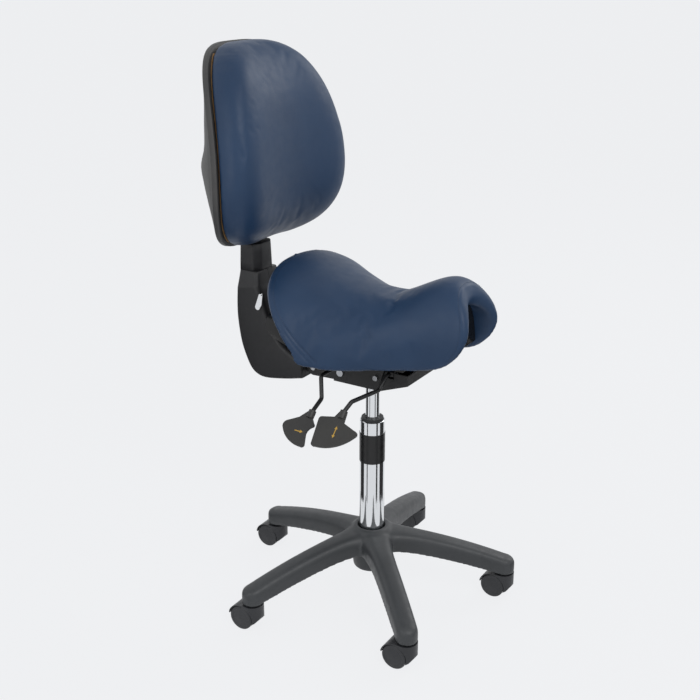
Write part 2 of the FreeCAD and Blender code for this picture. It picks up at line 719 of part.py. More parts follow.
def bent_rod(points, bend, radius):
    """Round bar along straight runs joined by arcs."""
    edges = []
    start = points[0]
    for i in range(1, len(points) - 1):
        corner = points[i]
        into = (corner - points[i - 1]).normalize()
        out = (points[i + 1] - corner).normalize()
        half = into.getAngle(out) / 2
        cut_back = bend * math.tan(half)
        first = corner - into * cut_back
        last = corner + out * cut_back
        inward = (out - into).normalize()
        middle = corner + inward * (bend / math.cos(half) - bend)
        edges.append(Part.LineSegment(start, first).toShape())
        edges.append(Part.Arc(first, middle, last).toShape())
        start = last
    edges.append(Part.LineSegment(start, points[-1]).toShape())
    path = Part.Wire(edges)
    section = Part.Wire([Part.Circle(points[0], points[1] - points[0], radius).toShape()])
    return path.makePipeShell([section], True, True)


def lever_rod(label, middle, height, route, tongue):
    """Bent lever rod with its knuckle and an inner tongue. Its Shape is set from the sheet's sizes."""
    side = -size("$lever_pin_side")
    y = size(middle)
    z = size(height)
    radius = size("$lever_radius")
    points = [Vector(side, y, z)] + [Vector(*spot) for spot in route]
    rod = bent_rod(points, 9, radius)
    knuckle = Part.makeCylinder(size("$lever_knuckle"), 19, Vector(side, y - 9.5, z), Vector(0, 1, 0))
    corners = [Vector(*spot) for spot in tongue]
    face = Part.Face(Part.makePolygon(corners + corners[:1]))
    plate = face.extrude(Vector(0, 0, 3))
    whole = rod.fuse([knuckle, plate])
    bore = Part.makeCylinder(size("$lever_pin_radius + $fit"), 40, Vector(side, y - 20, z), Vector(0, 1, 0))
    item = doc.addObject("Part::Feature", label)
    item.Shape = whole.cut(bore).removeSplitter()
    keep(item, label)


def height_lever_spot(out, back, down):
    """Place by its distances from the height lever's pin."""
    return (-size("$lever_pin_side") - out, back - size("$height_lever_front"),
            size("$height_lever_height") - down)


def tilt_lever_spot(out, back, down):
    """Place by its distances from the tilt lever's pin."""
    return (-size("$lever_pin_side") - out, back + size("$clamp_back"), size("$tilt_lever_height") - down)


# Where the levers' rods end in their paddles.
HEIGHT_PADDLE_SPOT = height_lever_spot(136, 17, 32)
TILT_PADDLE_SPOT = tilt_lever_spot(124, -14, 51)


def levers():
    button_top = size("$gas_top + $button_proud + $soft_gap")
    front = size("$height_lever_front")
    side = size("$lever_pin_side")
    lever_rod("height_lever_rod", "-$height_lever_front", "$height_lever_height",
              [height_lever_spot(14, 0, 0), height_lever_spot(38, 3, 22), height_lever_spot(117, 13, 19),
               HEIGHT_PADDLE_SPOT],
              [(-side + 4, -front - 9, button_top), (-side + 20, -front - 9, button_top),
               (8, -9, button_top), (8, 8, button_top), (-8, 8, button_top),
               (-side + 10, -front + 11, button_top),
               (-side + 10, -front + 8.5, button_top), (-side + 4, -front + 8.5, button_top)])
    back = size("$clamp_back")
    drop = size("$clamp_height + $clamp_radius + 4")
    lever_rod("tilt_lever_rod", "$clamp_back", "$tilt_lever_height",
              [tilt_lever_spot(74, 0, 0), tilt_lever_spot(89, -11, 39), TILT_PADDLE_SPOT],
              [(-side + 2, back - 6, drop), (-side + 16, back - 6, drop), (-side + 16, back + 6, drop),
               (-side + 2, back + 6, drop)])


def paddle(label, spot, corners):
    """Moulded finger plate: its X runs outward and down, its Y towards the front."""
    body = new_body(label)
    face = sketch(body, "XY_Plane")
    outline(face, corners)
    pad(body, face, "$paddle_thick", symmetric=True)
    sleeve = sketch(body, "YZ_Plane", "-3")
    circle(sleeve, "0", "0", "$lever_radius + 3")
    pad(body, sleeve, "15")
    hole = sketch(body, "YZ_Plane", "-4")
    circle(hole, "0", "0", "$lever_radius + 0.8")
    pocket(body, hole, "6", flip=True)
    slope = math.radians(size("$paddle_slope"))
    outward = Vector(-math.cos(slope), 0, -math.sin(slope))
    forward = Vector(0, -1, 0)
    normal = outward.cross(forward)
    body.Placement = Placement(FreeCAD.Matrix(
        outward.x, forward.x, normal.x, spot[0] + outward.x * 2.2,
        outward.y, forward.y, normal.y, spot[1] + outward.y * 2.2,
        outward.z, forward.z, normal.z, spot[2] + outward.z * 2.2,
        0, 0, 0, 1))


def paddles():
    paddle("height_lever_paddle", HEIGHT_PADDLE_SPOT, [
        ("0", "-7"), ("12", "-13"), ("17", "-38", "20", "-41.5"), ("24", "-42"), ("70", "-37", "74", "-34"),
        ("74", "-29", "64", "12"), ("39", "41", "33", "42.5"), ("29", "37"), ("19", "9"), ("0", "7"),
    ])
    paddle("tilt_lever_paddle", TILT_PADDLE_SPOT, [
        ("0", "-7"), ("15", "-20"), ("27", "-42", "34", "-47"), ("42", "-45", "62", "-24"),
        ("69", "4", "68", "10"), ("64", "12"), ("44", "6", "36", "7"), ("27", "15", "23", "15.5"),
        ("20", "13"), ("12", "6.8"), ("0", "7"),
    ])


# Seat: sections across the seat, front to rear. Each is: share of the reach in front of or
# behind the column axis, ridge above the plate, share of the half width, flap's edge above the plate.
SEAT_SHAPE = [
    (-1, 158, 0.44, 44),
    (-0.85, 169, 0.46, 28),
    (-0.67, 165, 0.49, 19),
    (-0.45, 146, 0.56, 13),
    (-0.22, 127, 0.65, 8),
    (0, 123, 0.75, 3),
    (0.34, 133, 0.87, 6),
    (0.59, 149, 0.965, 18),
    (0.815, 162, 1, 38),
    (1, 166, 0.97, 72),
]


def seat_section(share, ridge, half, edge):
    """Place along Y, ridge height, half width and edge height of a section."""
    reach = size("$seat_rear") if share > 0 else size("$seat_front")
    deck = size("$plate_bottom + $plate_thick")
    return (share * reach, deck + ridge, half * size("$seat_half"), deck + edge)


SEAT_SECTIONS = [seat_section(*values) for values in SEAT_SHAPE]
SEAT_POWER = 2.35


def arch(drawing, half, crown, bottom):
    """Closed arch: a rounded ridge over a straight floor."""
    points = []
    for step in range(-12, 13):
        angle = math.radians(step * 7.5)
        across = math.copysign(abs(math.sin(angle)) ** (2 / SEAT_POWER), math.sin(angle))
        up = abs(math.cos(angle)) ** (2 / SEAT_POWER)
        points.append(Vector(half * across, bottom + (crown - bottom) * up, 0))
    curve = Part.BSplineCurve()
    curve.interpolate(points)
    drawing.addGeometry(curve, False)
    drawing.addGeometry(Part.LineSegment(points[-1], points[0]), False)


def seat_value(y, column):
    """Straight-line value of the seat's sections at any place along Y."""
    low = SEAT_SECTIONS[0]
    for high in SEAT_SECTIONS[1:]:
        if y <= high[0]:
            break
        low = high
    if high is low:
        low = SEAT_SECTIONS[-2]
    share = (y - low[0]) / (high[0] - low[0])
    share = min(max(share, 0), 1)
    return low[column] + (high[column] - low[column]) * share


# Places along Y of the sections of the hollow under the seat, from before it to behind it.
HOLLOW_PLACES = [row[0] for row in SEAT_SECTIONS]
HOLLOW_PLACES[0] -= 18
HOLLOW_PLACES[-1] += 22


def hollow_solid(name, inset):
    """Solid that fills the hollow under the seat's foam, less an inset all round."""
    drawings = []
    for y in HOLLOW_PLACES:
        drawing = doc.addObject("Sketcher::SketchObject", name + "_sketch")
        drawing.Placement = Placement(Vector(0, y, 0), Rotation(Vector(1, 0, 0), 90))
        share = min(max((y - SEAT_SECTIONS[1][0]) / 90, 0), 1)
        foam = size("$nose_thick") + (size("$crown_thick") - size("$nose_thick")) * share
        arch(drawing, seat_value(y, 2) - size("$flap_thick") - inset, seat_value(y, 1) - foam - inset,
             seat_value(y, 3) - 40)
        drawings.append(drawing)
    solid = doc.addObject("Part::Loft", name)
    solid.Sections = drawings
    solid.Solid = True
    return solid


def seat_cushion():
    """Moulded foam saddle in its cover, hollow below where the shell lies."""
    body = new_body("seat_foam")
    PARTS.remove(body)
    sections = []
    for y, crown, half, bottom in SEAT_SECTIONS:
        section = sketch(body, "XZ_Plane", str(-y))
        arch(section, half, crown, bottom)
        sections.append(section)
    loft(body, sections)
    keep(cut("seat_cushion", body, hollow_solid("seat_hollow", 0)), "seat_cushion")


def side_prism(name, corners, half):
    """Solid of a side outline, drawn in Y and Z and stretched to both sides."""
    drawing = doc.addObject("Sketcher::SketchObject", name + "_sketch")
    drawing.Placement = Placement(Vector(0, 0, 0), Rotation(Vector(1, 1, 1), 120))
    outline(drawing, corners)
    solid = doc.addObject("Part::Extrusion", name)
    solid.Base = drawing
    solid.DirMode = "Normal"
    solid.Solid = True
    solid.Symmetric = True
    solid.setExpression("LengthFwd", "2 * (%s)" % link(half))
    return solid


def seat_shell():
    """Moulded pan: arch, closed front, two ribs and a flat deck for the seat plate."""
    outer = hollow_solid("shell_outside", size("$soft_gap * 2"))
    inner = hollow_solid("shell_inside", size("$soft_gap * 2 + $shell_thick"))
    edge = [("-$shell_setback", seat_value(-size("$shell_setback"), 3))]
    edge += [(row[0], row[3]) for row in SEAT_SECTIONS[2:-1]]
    edge.append(("$shell_rear", seat_value(size("$shell_rear"), 3)))
    above = [(y, "%s + $shell_lift" % z) for y, z in edge]
    ceiling = "$plate_bottom + 196"
    trim = side_prism("shell_trim", above + [("$shell_rear", ceiling), ("-$shell_setback", ceiling)],
                      "$seat_half + 30")
    room = [(y, "%s - 40" % z) for y, z in edge]
    room[0] = ("-$shell_setback + $shell_thick", room[0][1])
    room[-1] = ("$shell_rear + 10", room[-1][1])
    room += [("$shell_rear + 10", ceiling), ("-$shell_setback + $shell_thick", ceiling)]
    hollow = side_prism("shell_room", room, "$seat_half + 30")
    core = doc.addObject("Part::MultiCommon", "shell_core")
    core.Shapes = [outer, trim]
    bowl = doc.addObject("Part::MultiCommon", "shell_bowl")
    bowl.Shapes = [inner, hollow]
    skin = cut("shell_skin", core, bowl)
    low = "$plate_bottom + $plate_thick"
    front = "-$mech_front"
    rear = "$seat_screw_rear + 20"
    deck = box("shell_deck", "-$plate_half + 2", "$plate_half - 2",
               front, rear, low, low + " + $deck_thick")
    frame = [deck]
    for side in ("-$plate_half + 2", "$plate_half - 6"):
        frame.append(box("shell_rib", side, side + " + 4", front, rear, low, ceiling))
    for station in (front, rear + " - 4"):
        frame.append(box("shell_cross_rib", "-$plate_half + 2", "$plate_half - 2",
                         station, station + " + 4", low, ceiling))
    inside = doc.addObject("Part::MultiCommon", "shell_inner_parts")
    reach = hollow_solid("shell_reach", size("$soft_gap * 2 + $shell_thick / 2"))
    inside.Shapes = [fuse("shell_frame", frame), reach]
    whole = fuse("shell_whole", [skin, inside])
    holes = []
    for x, y in screw_spots():
        holes.append(cylinder("shell_hole", "$screw_radius + 0.1", "20", x, y, "$plate_bottom", (0, 0, 1)))
    keep(cut("seat_shell", whole, fuse("shell_holes", holes)), "seat_shell")


def screw_spots():
    spots = []
    for x in ("-$seat_screw_side", "$seat_screw_side"):
        spots.append((x, "-$seat_screw_front"))
        spots.append((x, "$seat_screw_rear"))
    return spots


def seat_plate():
    """Steel plate with two ears on the tilt axle and a slotted clamp ear on the far side."""
    body = new_body("seat_plate")
    top = sketch(body, "XY_Plane", "$plate_bottom")
    rectangle(top, "-$plate_half", "$plate_half", "-$seat_screw_front - 14", "$seat_screw_rear + 15")
    pad(body, top, "$plate_thick")
    inner = "$mech_half + 2"
    for side in (1, -1):
        face = sketch(body, "YZ_Plane", "%d * (%s)" % (side, inner))
        outline(face, [
            ("$tilt_axle_back - 20", "$plate_bottom + 1"),
            ("$tilt_axle_back - 11", "$tilt_axle_height", "$tilt_axle_back", "$tilt_axle_height - 11"),
            ("$tilt_axle_back + 11", "$tilt_axle_height"),
            ("$tilt_axle_back + 20", "$plate_bottom + 1"),
        ])
        pad(body, face, "$sheet_wall", flip=side < 0)
    clamp = sketch(body, "YZ_Plane", inner)
    rectangle(clamp, "$clamp_back - 16", "$clamp_back + 16", "$clamp_height - 22", "$plate_bottom + 1")
    pad(body, clamp, "$sheet_wall")
    slot = sketch(body, "YZ_Plane")
    rectangle(slot, "$clamp_back - $clamp_radius - 2", "$clamp_back + $clamp_radius + 2",
              "$clamp_height - $clamp_radius - 9", "$clamp_height + $clamp_radius + 9")
    circle(slot, "$tilt_axle_back", "$tilt_axle_height", "$tilt_axle_radius + $fit")
    pocket(body, slot, "4 * $mech_half", symmetric=True)
    holes = sketch(body, "XY_Plane", "$plate_bottom + 10")
    for x, y in screw_spots():
        circle(holes, x, y, "$screw_radius + 0.1")
    pocket(body, holes, "20")


def seat_screws():
    screws = []
    for x, y in screw_spots():
        shank = cylinder("screw_shank", "$screw_radius", "$plate_thick + $deck_thick + 3",
                         x, y, "$plate_bottom", (0, 0, 1))
        head = cylinder("screw_head", "$screw_radius + 2.5", "4", x, y, "$plate_bottom - 4", (0, 0, 1))
        screws.append(fuse("seat_screw", [shank, head]))
    keep(group("seat_screws", screws), "seat_screws")


# Back support

def hinge_bracket():
    """Steel fork on the housing's rear wall that carries the back pivot pin."""
    body = new_body("back_hinge_bracket")
    side = sketch(body, "YZ_Plane")
    outline(side, [
        ("$mech_rear", "$pivot_height - 14"),
        ("$pivot_back", "$pivot_height - 16", "$pivot_back + 16", "$pivot_height"),
        ("$pivot_back", "$pivot_height + 16"),
        ("$mech_rear", "$pivot_height + 16"),
    ])
    pad(body, side, "2 * ($bar_half + 10)", symmetric=True)
    room = sketch(body, "YZ_Plane")
    rectangle(room, "$mech_rear + 4", "$pivot_back + 30", "$pivot_height - 30", "$pivot_height + 30")
    pocket(body, room, "2 * ($bar_half + 6)", symmetric=True)
    bore = sketch(body, "YZ_Plane")
    circle(bore, "$pivot_back", "$pivot_height", "$pivot_pin + $fit")
    pocket(body, bore, "200", symmetric=True)
    pin = cylinder("back_pivot_pin", "$pivot_pin", "2 * ($bar_half + 13)", "-$bar_half - 13",
                   "$pivot_back", "$pivot_height", (1, 0, 0))
    keep(pin, "back_pivot_pin")


def back_bar():
    """Flat steel bar: knuckle, lower run, bend and upright."""
    body = new_body("back_bar")
    side = sketch(body, "YZ_Plane")
    bend_y = "$bar_back - $bar_bend"
    bend_z = "$bar_drop + $bar_bend"
    small = "($bar_bend - $bar_thick)"
    outline(side, [
        ("$pivot_back", "$bar_drop"),
        (bend_y, "$bar_drop", bend_y + " + $bar_bend * sin(45)", bend_z + " - $bar_bend * cos(45)"),
        ("$bar_back", bend_z),
        ("$bar_back", "$bar_top"),
        ("$bar_back - $bar_thick", "$bar_top"),
        ("$bar_back - $bar_thick", bend_z,
         bend_y + " + %s * sin(45)" % small, bend_z + " - %s * cos(45)" % small),
        (bend_y, "$bar_drop + $bar_thick"),
        ("$pivot_back", "$bar_drop + $bar_thick"),
    ])
    pad(body, side, "2 * $bar_half", symmetric=True)
    knuckle = sketch(body, "YZ_Plane")
    circle(knuckle, "$pivot_back", "$pivot_height", "$knuckle_radius")
    pad(body, knuckle, "2 * ($bar_half + 5.5)", symmetric=True)
    bore = sketch(body, "YZ_Plane")
    circle(bore, "$pivot_back", "$pivot_height", "$pivot_pin + $fit")
    pocket(body, bore, "200", symmetric=True)


# Side view of the lower bracket cover: its outside, from the bottom front round the back to the top.
COVER_OUTSIDE = [
    ("$pivot_back + 20", "$bar_drop - 9"),
    ("$bar_back - 79", "$bar_drop - 23"),
    ("$bar_back - 48", "$bar_drop - 25"),
    ("$bar_back - 26", "$bar_drop - 15"),
    ("$bar_back - 15", "$bar_drop + 1"),
    ("$bar_back - 2", "$bar_drop + 31"),
    ("$bar_back + 7", "$bar_drop + 65"),
    ("$bar_back + 10", "$bar_drop + 99"),
    ("$bar_back + 8", "$sleeve_bottom - 40"),
    ("$sleeve_back", "$sleeve_bottom"),
]
# Its inside edge, from the top down to the bottom front.
COVER_INSIDE = [
    ("$sleeve_front", "$sleeve_bottom"),
    ("$sleeve_front - 7", "$sleeve_bottom - 33"),
    ("$lock_back - 7", "$lock_height + 8"),
    ("$lock_back - 16", "$lock_height - 28"),
    ("$bar_back - 83", "$bar_drop + 67"),
    ("$bar_back - 112", "$bar_drop + 44"),
    ("$pivot_back + 20", "$bar_drop + 31"),
]


def shrink(points, wall):
    """Move a closed outline inward by the wall."""
    face = Part.Wire([Part.makePolygon([Vector(0, y, z) for y, z in points + points[:1]])][0].Edges)
    inner = face.makeOffset2D(-wall, 2)
    if inner.BoundBox.YLength > face.BoundBox.YLength:
        inner = face.makeOffset2D(wall, 2)
    return [(vertex.Point.y, vertex.Point.z) for vertex in inner.OrderedVertexes]


def half_cover(label, side):
    """One half of the clamshell cover round the bent bar, open at its front and top ends."""
    body = new_body(label)
    points = [(size(y), size(z)) for y, z in COVER_OUTSIDE + COVER_INSIDE]
    face = sketch(body, "YZ_Plane")
    outline(face, COVER_OUTSIDE + COVER_INSIDE)
    pad(body, face, "$cover_half", flip=side < 0)
    wall = size("$cover_wall")
    room = sketch(body, "YZ_Plane")
    inner = shrink(points, wall)
    low = min(y for y, z in inner)
    high = max(z for y, z in inner)
    stretched = []
    for y, z in inner:
        y = y - 2 * wall if y < low + 0.01 else y
        z = z + 2 * wall if z > high - 0.01 else z
        stretched.append((str(y), str(z)))
    outline(room, stretched)
    pocket(body, room, "$cover_half - $cover_wall", flip=side > 0)
    wedge = sketch(body, "XZ_Plane", "-$sleeve_back - 40")
    outline(wedge, [
        ("%d * ($cover_half + 1)" % side, "$sleeve_bottom - 33"),
        ("%d * $cover_half" % side, "$sleeve_bottom - 33"),
        ("%d * ($sleeve_half + 2)" % side, "$sleeve_bottom - 3"),
        ("%d * ($sleeve_half + 2)" % side, "$sleeve_bottom + 1"),
        ("%d * ($cover_half + 1)" % side, "$sleeve_bottom + 1"),
    ])
    pocket(body, wedge, "200", flip=True)
    boss = sketch(body, "YZ_Plane", "%d * ($bar_half + $soft_gap)" % side)
    circle(boss, "$pivot_back + 82", "$bar_drop + $bar_thick / 2", "6")
    circle(boss, "$bar_back - $bar_thick / 2", "$lock_height - 20", "5")
    pad(body, boss, "$cover_half - $cover_wall - $bar_half", flip=side < 0)
    shaft = sketch(body, "YZ_Plane")
    circle(shaft, "$lock_back", "$lock_height", "$lock_radius + $fit")
    pocket(body, shaft, "200", symmetric=True)


def upper_sleeve():
    """Square plastic sleeve with bevelled front corners round the upright bar."""
    body = new_body("bar_sleeve")
    plan = sketch(body, "XY_Plane", "$sleeve_bottom")
    outline(plan, [
        ("-$sleeve_half", "$sleeve_back"),
        ("-$sleeve_half", "$sleeve_front + 6"),
        ("-$sleeve_half + 17", "$sleeve_front"),
        ("$sleeve_half - 17", "$sleeve_front"),
        ("$sleeve_half", "$sleeve_front + 6"),
        ("$sleeve_half", "$sleeve_back"),
    ])
    pad(body, plan, "$sleeve_top - $sleeve_bottom")
    room = sketch(body, "XY_Plane", "$sleeve_top - $cover_wall")
    rectangle(room, "-$sleeve_half + $cover_wall", "$sleeve_half - $cover_wall",
              "$sleeve_front + 9", "$sleeve_back - $cover_wall")
    pocket(body, room, "200")
    mouth = sketch(body, "XY_Plane", "$sleeve_top + 1")
    rectangle(mouth, "-$bar_half - 0.4", "$bar_half + 0.4",
              "$bar_back - $bar_thick - 0.4", "$bar_back + 0.4")
    pocket(body, mouth, "200")


def lock_parts():
    """Cross shaft through both covers and the small bright lever on its near end."""
    shaft = cylinder("lock_shaft_bar", "$lock_radius", "2 * $cover_half + 2", "-$cover_half - 1",
                     "$lock_back", "$lock_height", (1, 0, 0))
    head = cylinder("lock_shaft_head", "$lock_radius + 3", "3", "$cover_half + 0.3",
                    "$lock_back", "$lock_height", (1, 0, 0))
    keep(fuse("back_lock_shaft", [shaft, head]), "back_lock_shaft")
    body = new_body("back_lock_lever")
    face = sketch(body, "YZ_Plane", "-$cover_half - 0.5")
    outline(face, [
        ("$lock_back - 5.5", "$lock_height - 1", "$lock_back + 1", "$lock_height - 5.5"),
        ("$lock_back + 5.5", "$lock_height + 1"),
        ("$lock_back - 4", "$lock_height + 26", "$lock_back - 8", "$lock_height + 28"),
        ("$lock_back - 9", "$lock_height + 24"),
    ])
    pad(body, face, "5", flip=True)
    hole = sketch(body, "YZ_Plane")
    circle(hole, "$lock_back", "$lock_height", "$lock_radius + $fit")
    pocket(body, hole, "$cover_half + 2", flip=False)


# Backrest: shares of its half height where sections lie, bottom to top.
BACK_STATIONS = (-0.998, -0.97, -0.9, -0.75, -0.5, -0.2, 0.1, 0.4, 0.7, 0.9, 0.97, 0.998)
# Depth of the shell's back behind the rim, at those stations.
SHELL_DEPTH = (17, 20, 27, 38, 48, 54, 40, 30, 25, 21, 18, 16)


def back_half(share):
    """Half width of the backrest's outline at a share of its half height."""
    full = size("$back_half_width") * (1 - size("$back_taper") * share)
    return full * (1 - abs(share) ** 2.55) ** (1 / 3.35)


def rim(u, share):
    """Forward place of the line between foam and shell."""
    return size("$back_wings") * u * u / 1000 + size("$back_lumbar") * (1 - share * share)


def layer(body, stations, front, back, half):
    """Sections across the backrest between a front and a back curve, as sketches."""
    drawings = []
    for share in stations:
        wide = half(share)
        drawing = sketch(body, "XY_Plane", "%s * $back_half_height" % share)
        steps = [wide * math.sin(math.radians(angle)) for angle in range(-90, 91, 15)]
        front_points = [Vector(u, -front(u, share, wide), 0) for u in steps]
        back_points = [Vector(u, -back(u, share, wide), 0) for u in steps]
        front_curve = Part.BSplineCurve()
        front_curve.interpolate(front_points)
        back_curve = Part.BSplineCurve()
        back_curve.interpolate(back_points)
        drawing.addGeometry(front_curve, False)
        drawing.addGeometry(Part.LineSegment(front_points[-1], back_points[-1]), False)
        drawing.addGeometry(back_curve, False)
        drawing.addGeometry(Part.LineSegment(back_points[0], front_points[0]), False)
        drawings.append(drawing)
    return drawings


def place_back(body):
    place(body, "0", "$back_place", "$back_height", (-1, 0, 0), "$recline")


def shell_depth(share):
    for i in range(len(BACK_STATIONS) - 1):
        if share <= BACK_STATIONS[i + 1]:
            break
    part = (share - BACK_STATIONS[i]) / (BACK_STATIONS[i + 1] - BACK_STATIONS[i])
    return SHELL_DEPTH[i] + (SHELL_DEPTH[i + 1] - SHELL_DEPTH[i]) * part


def shell_back(u, share, wide):
    """Back of the shell: a flange at the edge, then slopes to a deeper middle."""
    edge = size("$back_edge")
    wing = rim(wide, share)
    deep = shell_depth(share) - rim(0, share)
    blend = (1 - min(abs(u) / wide, 1) ** 3)
    return wing - edge - (wing - edge + deep) * blend


# How full the cushion is towards its sides.
CUSHION_POWER = 5.5


def crown(share, power):
    """Rounded fall of the foam from 1 in the middle to 0 at the edge."""
    return (1 - share ** power) ** 0.5


def backrest():
    edge = size("$back_edge")
    gap = size("$soft_gap")
    board = size("$board_thick")
    foam = size("$back_foam")
    wall = size("$cover_wall")
    cushion = new_body("backrest_cushion")
    loft(cushion, layer(
        cushion, BACK_STATIONS,
        lambda u, s, w: rim(u, s) + edge + foam * crown(abs(u) / w, CUSHION_POWER) * crown(abs(s), 6),
        lambda u, s, w: rim(u, s) + 2 * gap, back_half))
    place_back(cushion)
    inner = BACK_STATIONS[2:-2]
    plate = new_body("backrest_board")
    loft(plate, layer(plate, inner, lambda u, s, w: rim(u, s), lambda u, s, w: rim(u, s) - board,
                      lambda s: back_half(s) - 14))
    for across, share in screw_places():
        level = "%s * $back_half_height" % share
        for radius, depth in (("$board_screw + 0.1", "60"), ("$board_screw + 3.3", "3.6")):
            hole = sketch(plate, "XZ_Plane", "%s + 0.2" % rim(across, share))
            circle(hole, str(across), level, radius)
            pocket(plate, hole, depth)
    place_back(plate)
    shell = new_body("backrest_shell")
    loft(shell, layer(shell, BACK_STATIONS, lambda u, s, w: rim(u, s), shell_back, back_half))
    hollow = inner
    loft(shell, layer(shell, hollow, lambda u, s, w: rim(u, s) + 5,
                      lambda u, s, w: shell_back(u, s, w) + wall,
                      lambda s: back_half(s) - 9), cut=True)
    mouth = sketch(shell, "XY_Plane", "-$back_half_height - 20")
    lean = "tan($recline)"
    rectangle(mouth, "-$bar_half - 4", "$bar_half + 4",
              "$bar_back - $bar_thick - 6 - $back_place + 170 * %s" % lean,
              "$bar_back + 6 - $back_place + 200 * %s" % lean)
    pocket(shell, mouth, "70", flip=True)
    place_back(shell)
    back_carriage()
    back_screws()


def back_carriage():
    """Block behind the board that slides on the bar and holds the backrest's height."""
    body = new_body("slide_carriage")
    side = sketch(body, "YZ_Plane")
    rectangle(side, "-60", "14.5", "-$back_half_height * 0.62", "-$back_half_height * 0.22")
    pad(body, side, "2 * $bar_half + 24", symmetric=True)
    board = size("$board_thick") + 2 * size("$soft_gap")
    loft(body, layer(body, (-0.8, -0.6, -0.4, -0.2, -0.05), lambda u, s, w: 90,
                     lambda u, s, w: rim(u, s) - board, lambda s: 60), cut=True)
    slot = sketch(body, "YZ_Plane")
    front = "($bar_back - $bar_thick - $soft_gap - $back_place)"
    back = "($bar_back + $soft_gap - $back_place)"
    corners = []
    for face, level in ((front, "-170"), (back, "-170"), (back, "10"), (front, "10")):
        corners.append(("%s * cos($recline) - (%s) * sin($recline)" % (face, level),
                        "%s * sin($recline) + (%s) * cos($recline)" % (face, level)))
    outline(slot, corners)
    pocket(body, slot, "2 * ($bar_half + $soft_gap)", symmetric=True)
    for across, share in screw_places():
        hole = sketch(body, "XZ_Plane", "60")
        circle(hole, str(across), "%s * $back_half_height" % share, "$board_screw + 0.1")
        pocket(body, hole, "70")
    place_back(body)


def screw_places():
    """Across and height share of the screws between the board and the carriage, beside the bar."""
    reach = size("$bar_half") + 7
    return [(across, share) for across in (-reach, reach) for share in (-0.53, -0.31)]


def back_screws():
    """Screws through the board into the carriage, on both sides of the bar."""
    body = new_body("back_screws")
    for across, share in screw_places():
        front = rim(across, share)
        head_and_shank = (("$board_screw + 3", front - 0.4, "3"), ("$board_screw", front - 3, "15"))
        for radius, start, length in head_and_shank:
            face = sketch(body, "XZ_Plane", str(start))
            circle(face, str(across), "%s * $back_half_height" % share, radius)
            pad(body, face, length, flip=True)
    place_back(body)


star_base()
caster_stems()
casters()
lift()
mechanism_housing()
cross_shafts()
levers()
paddles()
seat_cushion()
seat_shell()
seat_plate()
seat_screws()
hinge_bracket()
back_bar()
half_cover("bracket_cover_left", -1)
half_cover("bracket_cover_right", 1)
upper_sleeve()
lock_parts()
backrest()
doc.recompute()

for item in doc.Objects:
    if "Invalid" in item.State or "Error" in item.State:
        raise RuntimeError("%s failed: %s" % (item.Label, item.State))
for item in PARTS:
    if item.Shape.isNull() or not item.Shape.isValid():
        raise RuntimeError("%s has no valid shape" % item.Label)

os.makedirs("parts", exist_ok=True)
for item in PARTS:
    item.Shape.exportStep("parts/%s.step" % item.Label)
print(len(PARTS), "nodes written")
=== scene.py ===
import math

import bmesh
import bpy
import numpy as np
from mathutils import Matrix, Vector
from mathutils.bvhtree import BVHTree
from mathutils.kdtree import KDTree


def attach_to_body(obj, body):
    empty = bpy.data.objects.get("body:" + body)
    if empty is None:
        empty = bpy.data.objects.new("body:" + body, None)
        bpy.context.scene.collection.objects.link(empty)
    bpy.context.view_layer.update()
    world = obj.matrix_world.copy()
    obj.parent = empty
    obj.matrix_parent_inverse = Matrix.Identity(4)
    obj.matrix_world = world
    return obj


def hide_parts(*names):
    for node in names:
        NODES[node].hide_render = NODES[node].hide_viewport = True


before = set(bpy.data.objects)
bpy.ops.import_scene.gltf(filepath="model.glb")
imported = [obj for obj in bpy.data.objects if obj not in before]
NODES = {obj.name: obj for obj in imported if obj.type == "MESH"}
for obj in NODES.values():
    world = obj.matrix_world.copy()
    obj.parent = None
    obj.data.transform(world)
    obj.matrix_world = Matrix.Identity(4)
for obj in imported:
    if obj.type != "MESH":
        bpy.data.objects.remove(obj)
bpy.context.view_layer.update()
MM = 0.001


# Materials

def linear(red, green, blue):
    """Colour from 0-255 screen values to the shader's linear values."""
    out = []
    for value in (red, green, blue):
        value = value / 255
        out.append(value / 12.92 if value <= 0.04045 else ((value + 0.055) / 1.055) ** 2.4)
    return (out[0], out[1], out[2], 1.0)


def shader(name, color, rough, metal=0.0, specular=0.5, coat=0.0, coat_rough=0.1):
    """New material with its main shader's constants set on the sockets."""
    material = bpy.data.materials.new(name)
    material.use_nodes = True
    main = material.node_tree.nodes["Principled BSDF"]
    main.inputs["Base Color"].default_value = linear(*color)
    main.inputs["Roughness"].default_value = rough
    main.inputs["Metallic"].default_value = metal
    main.inputs["Specular IOR Level"].default_value = specular
    main.inputs["Coat Weight"].default_value = coat
    main.inputs["Coat Roughness"].default_value = coat_rough
    return material


def add(material, kind, **inputs):
    node = material.node_tree.nodes.new(kind)
    for key, value in inputs.items():
        node.inputs[key.replace("_", " ")].default_value = value
    return node


def wire(material, source, target):
    material.node_tree.links.new(source, target)


def place_of(material):
    return add(material, "ShaderNodeTexCoord").outputs["Object"]


def noise_of(material, scale, detail=3.0, rough=0.5):
    node = add(material, "ShaderNodeTexNoise", Scale=scale, Detail=detail, Roughness=rough)
    wire(material, place_of(material), node.inputs["Vector"])
    return node.outputs["Fac"]


def spread(material, value, low_in, high_in, low, high):
    """Map a value from one range to another."""
    node = material.node_tree.nodes.new("ShaderNodeMapRange")
    node.inputs["From Min"].default_value = low_in
    node.inputs["From Max"].default_value = high_in
    node.inputs["To Min"].default_value = low
    node.inputs["To Max"].default_value = high
    wire(material, value, node.inputs["Value"])
    return node.outputs["Result"]


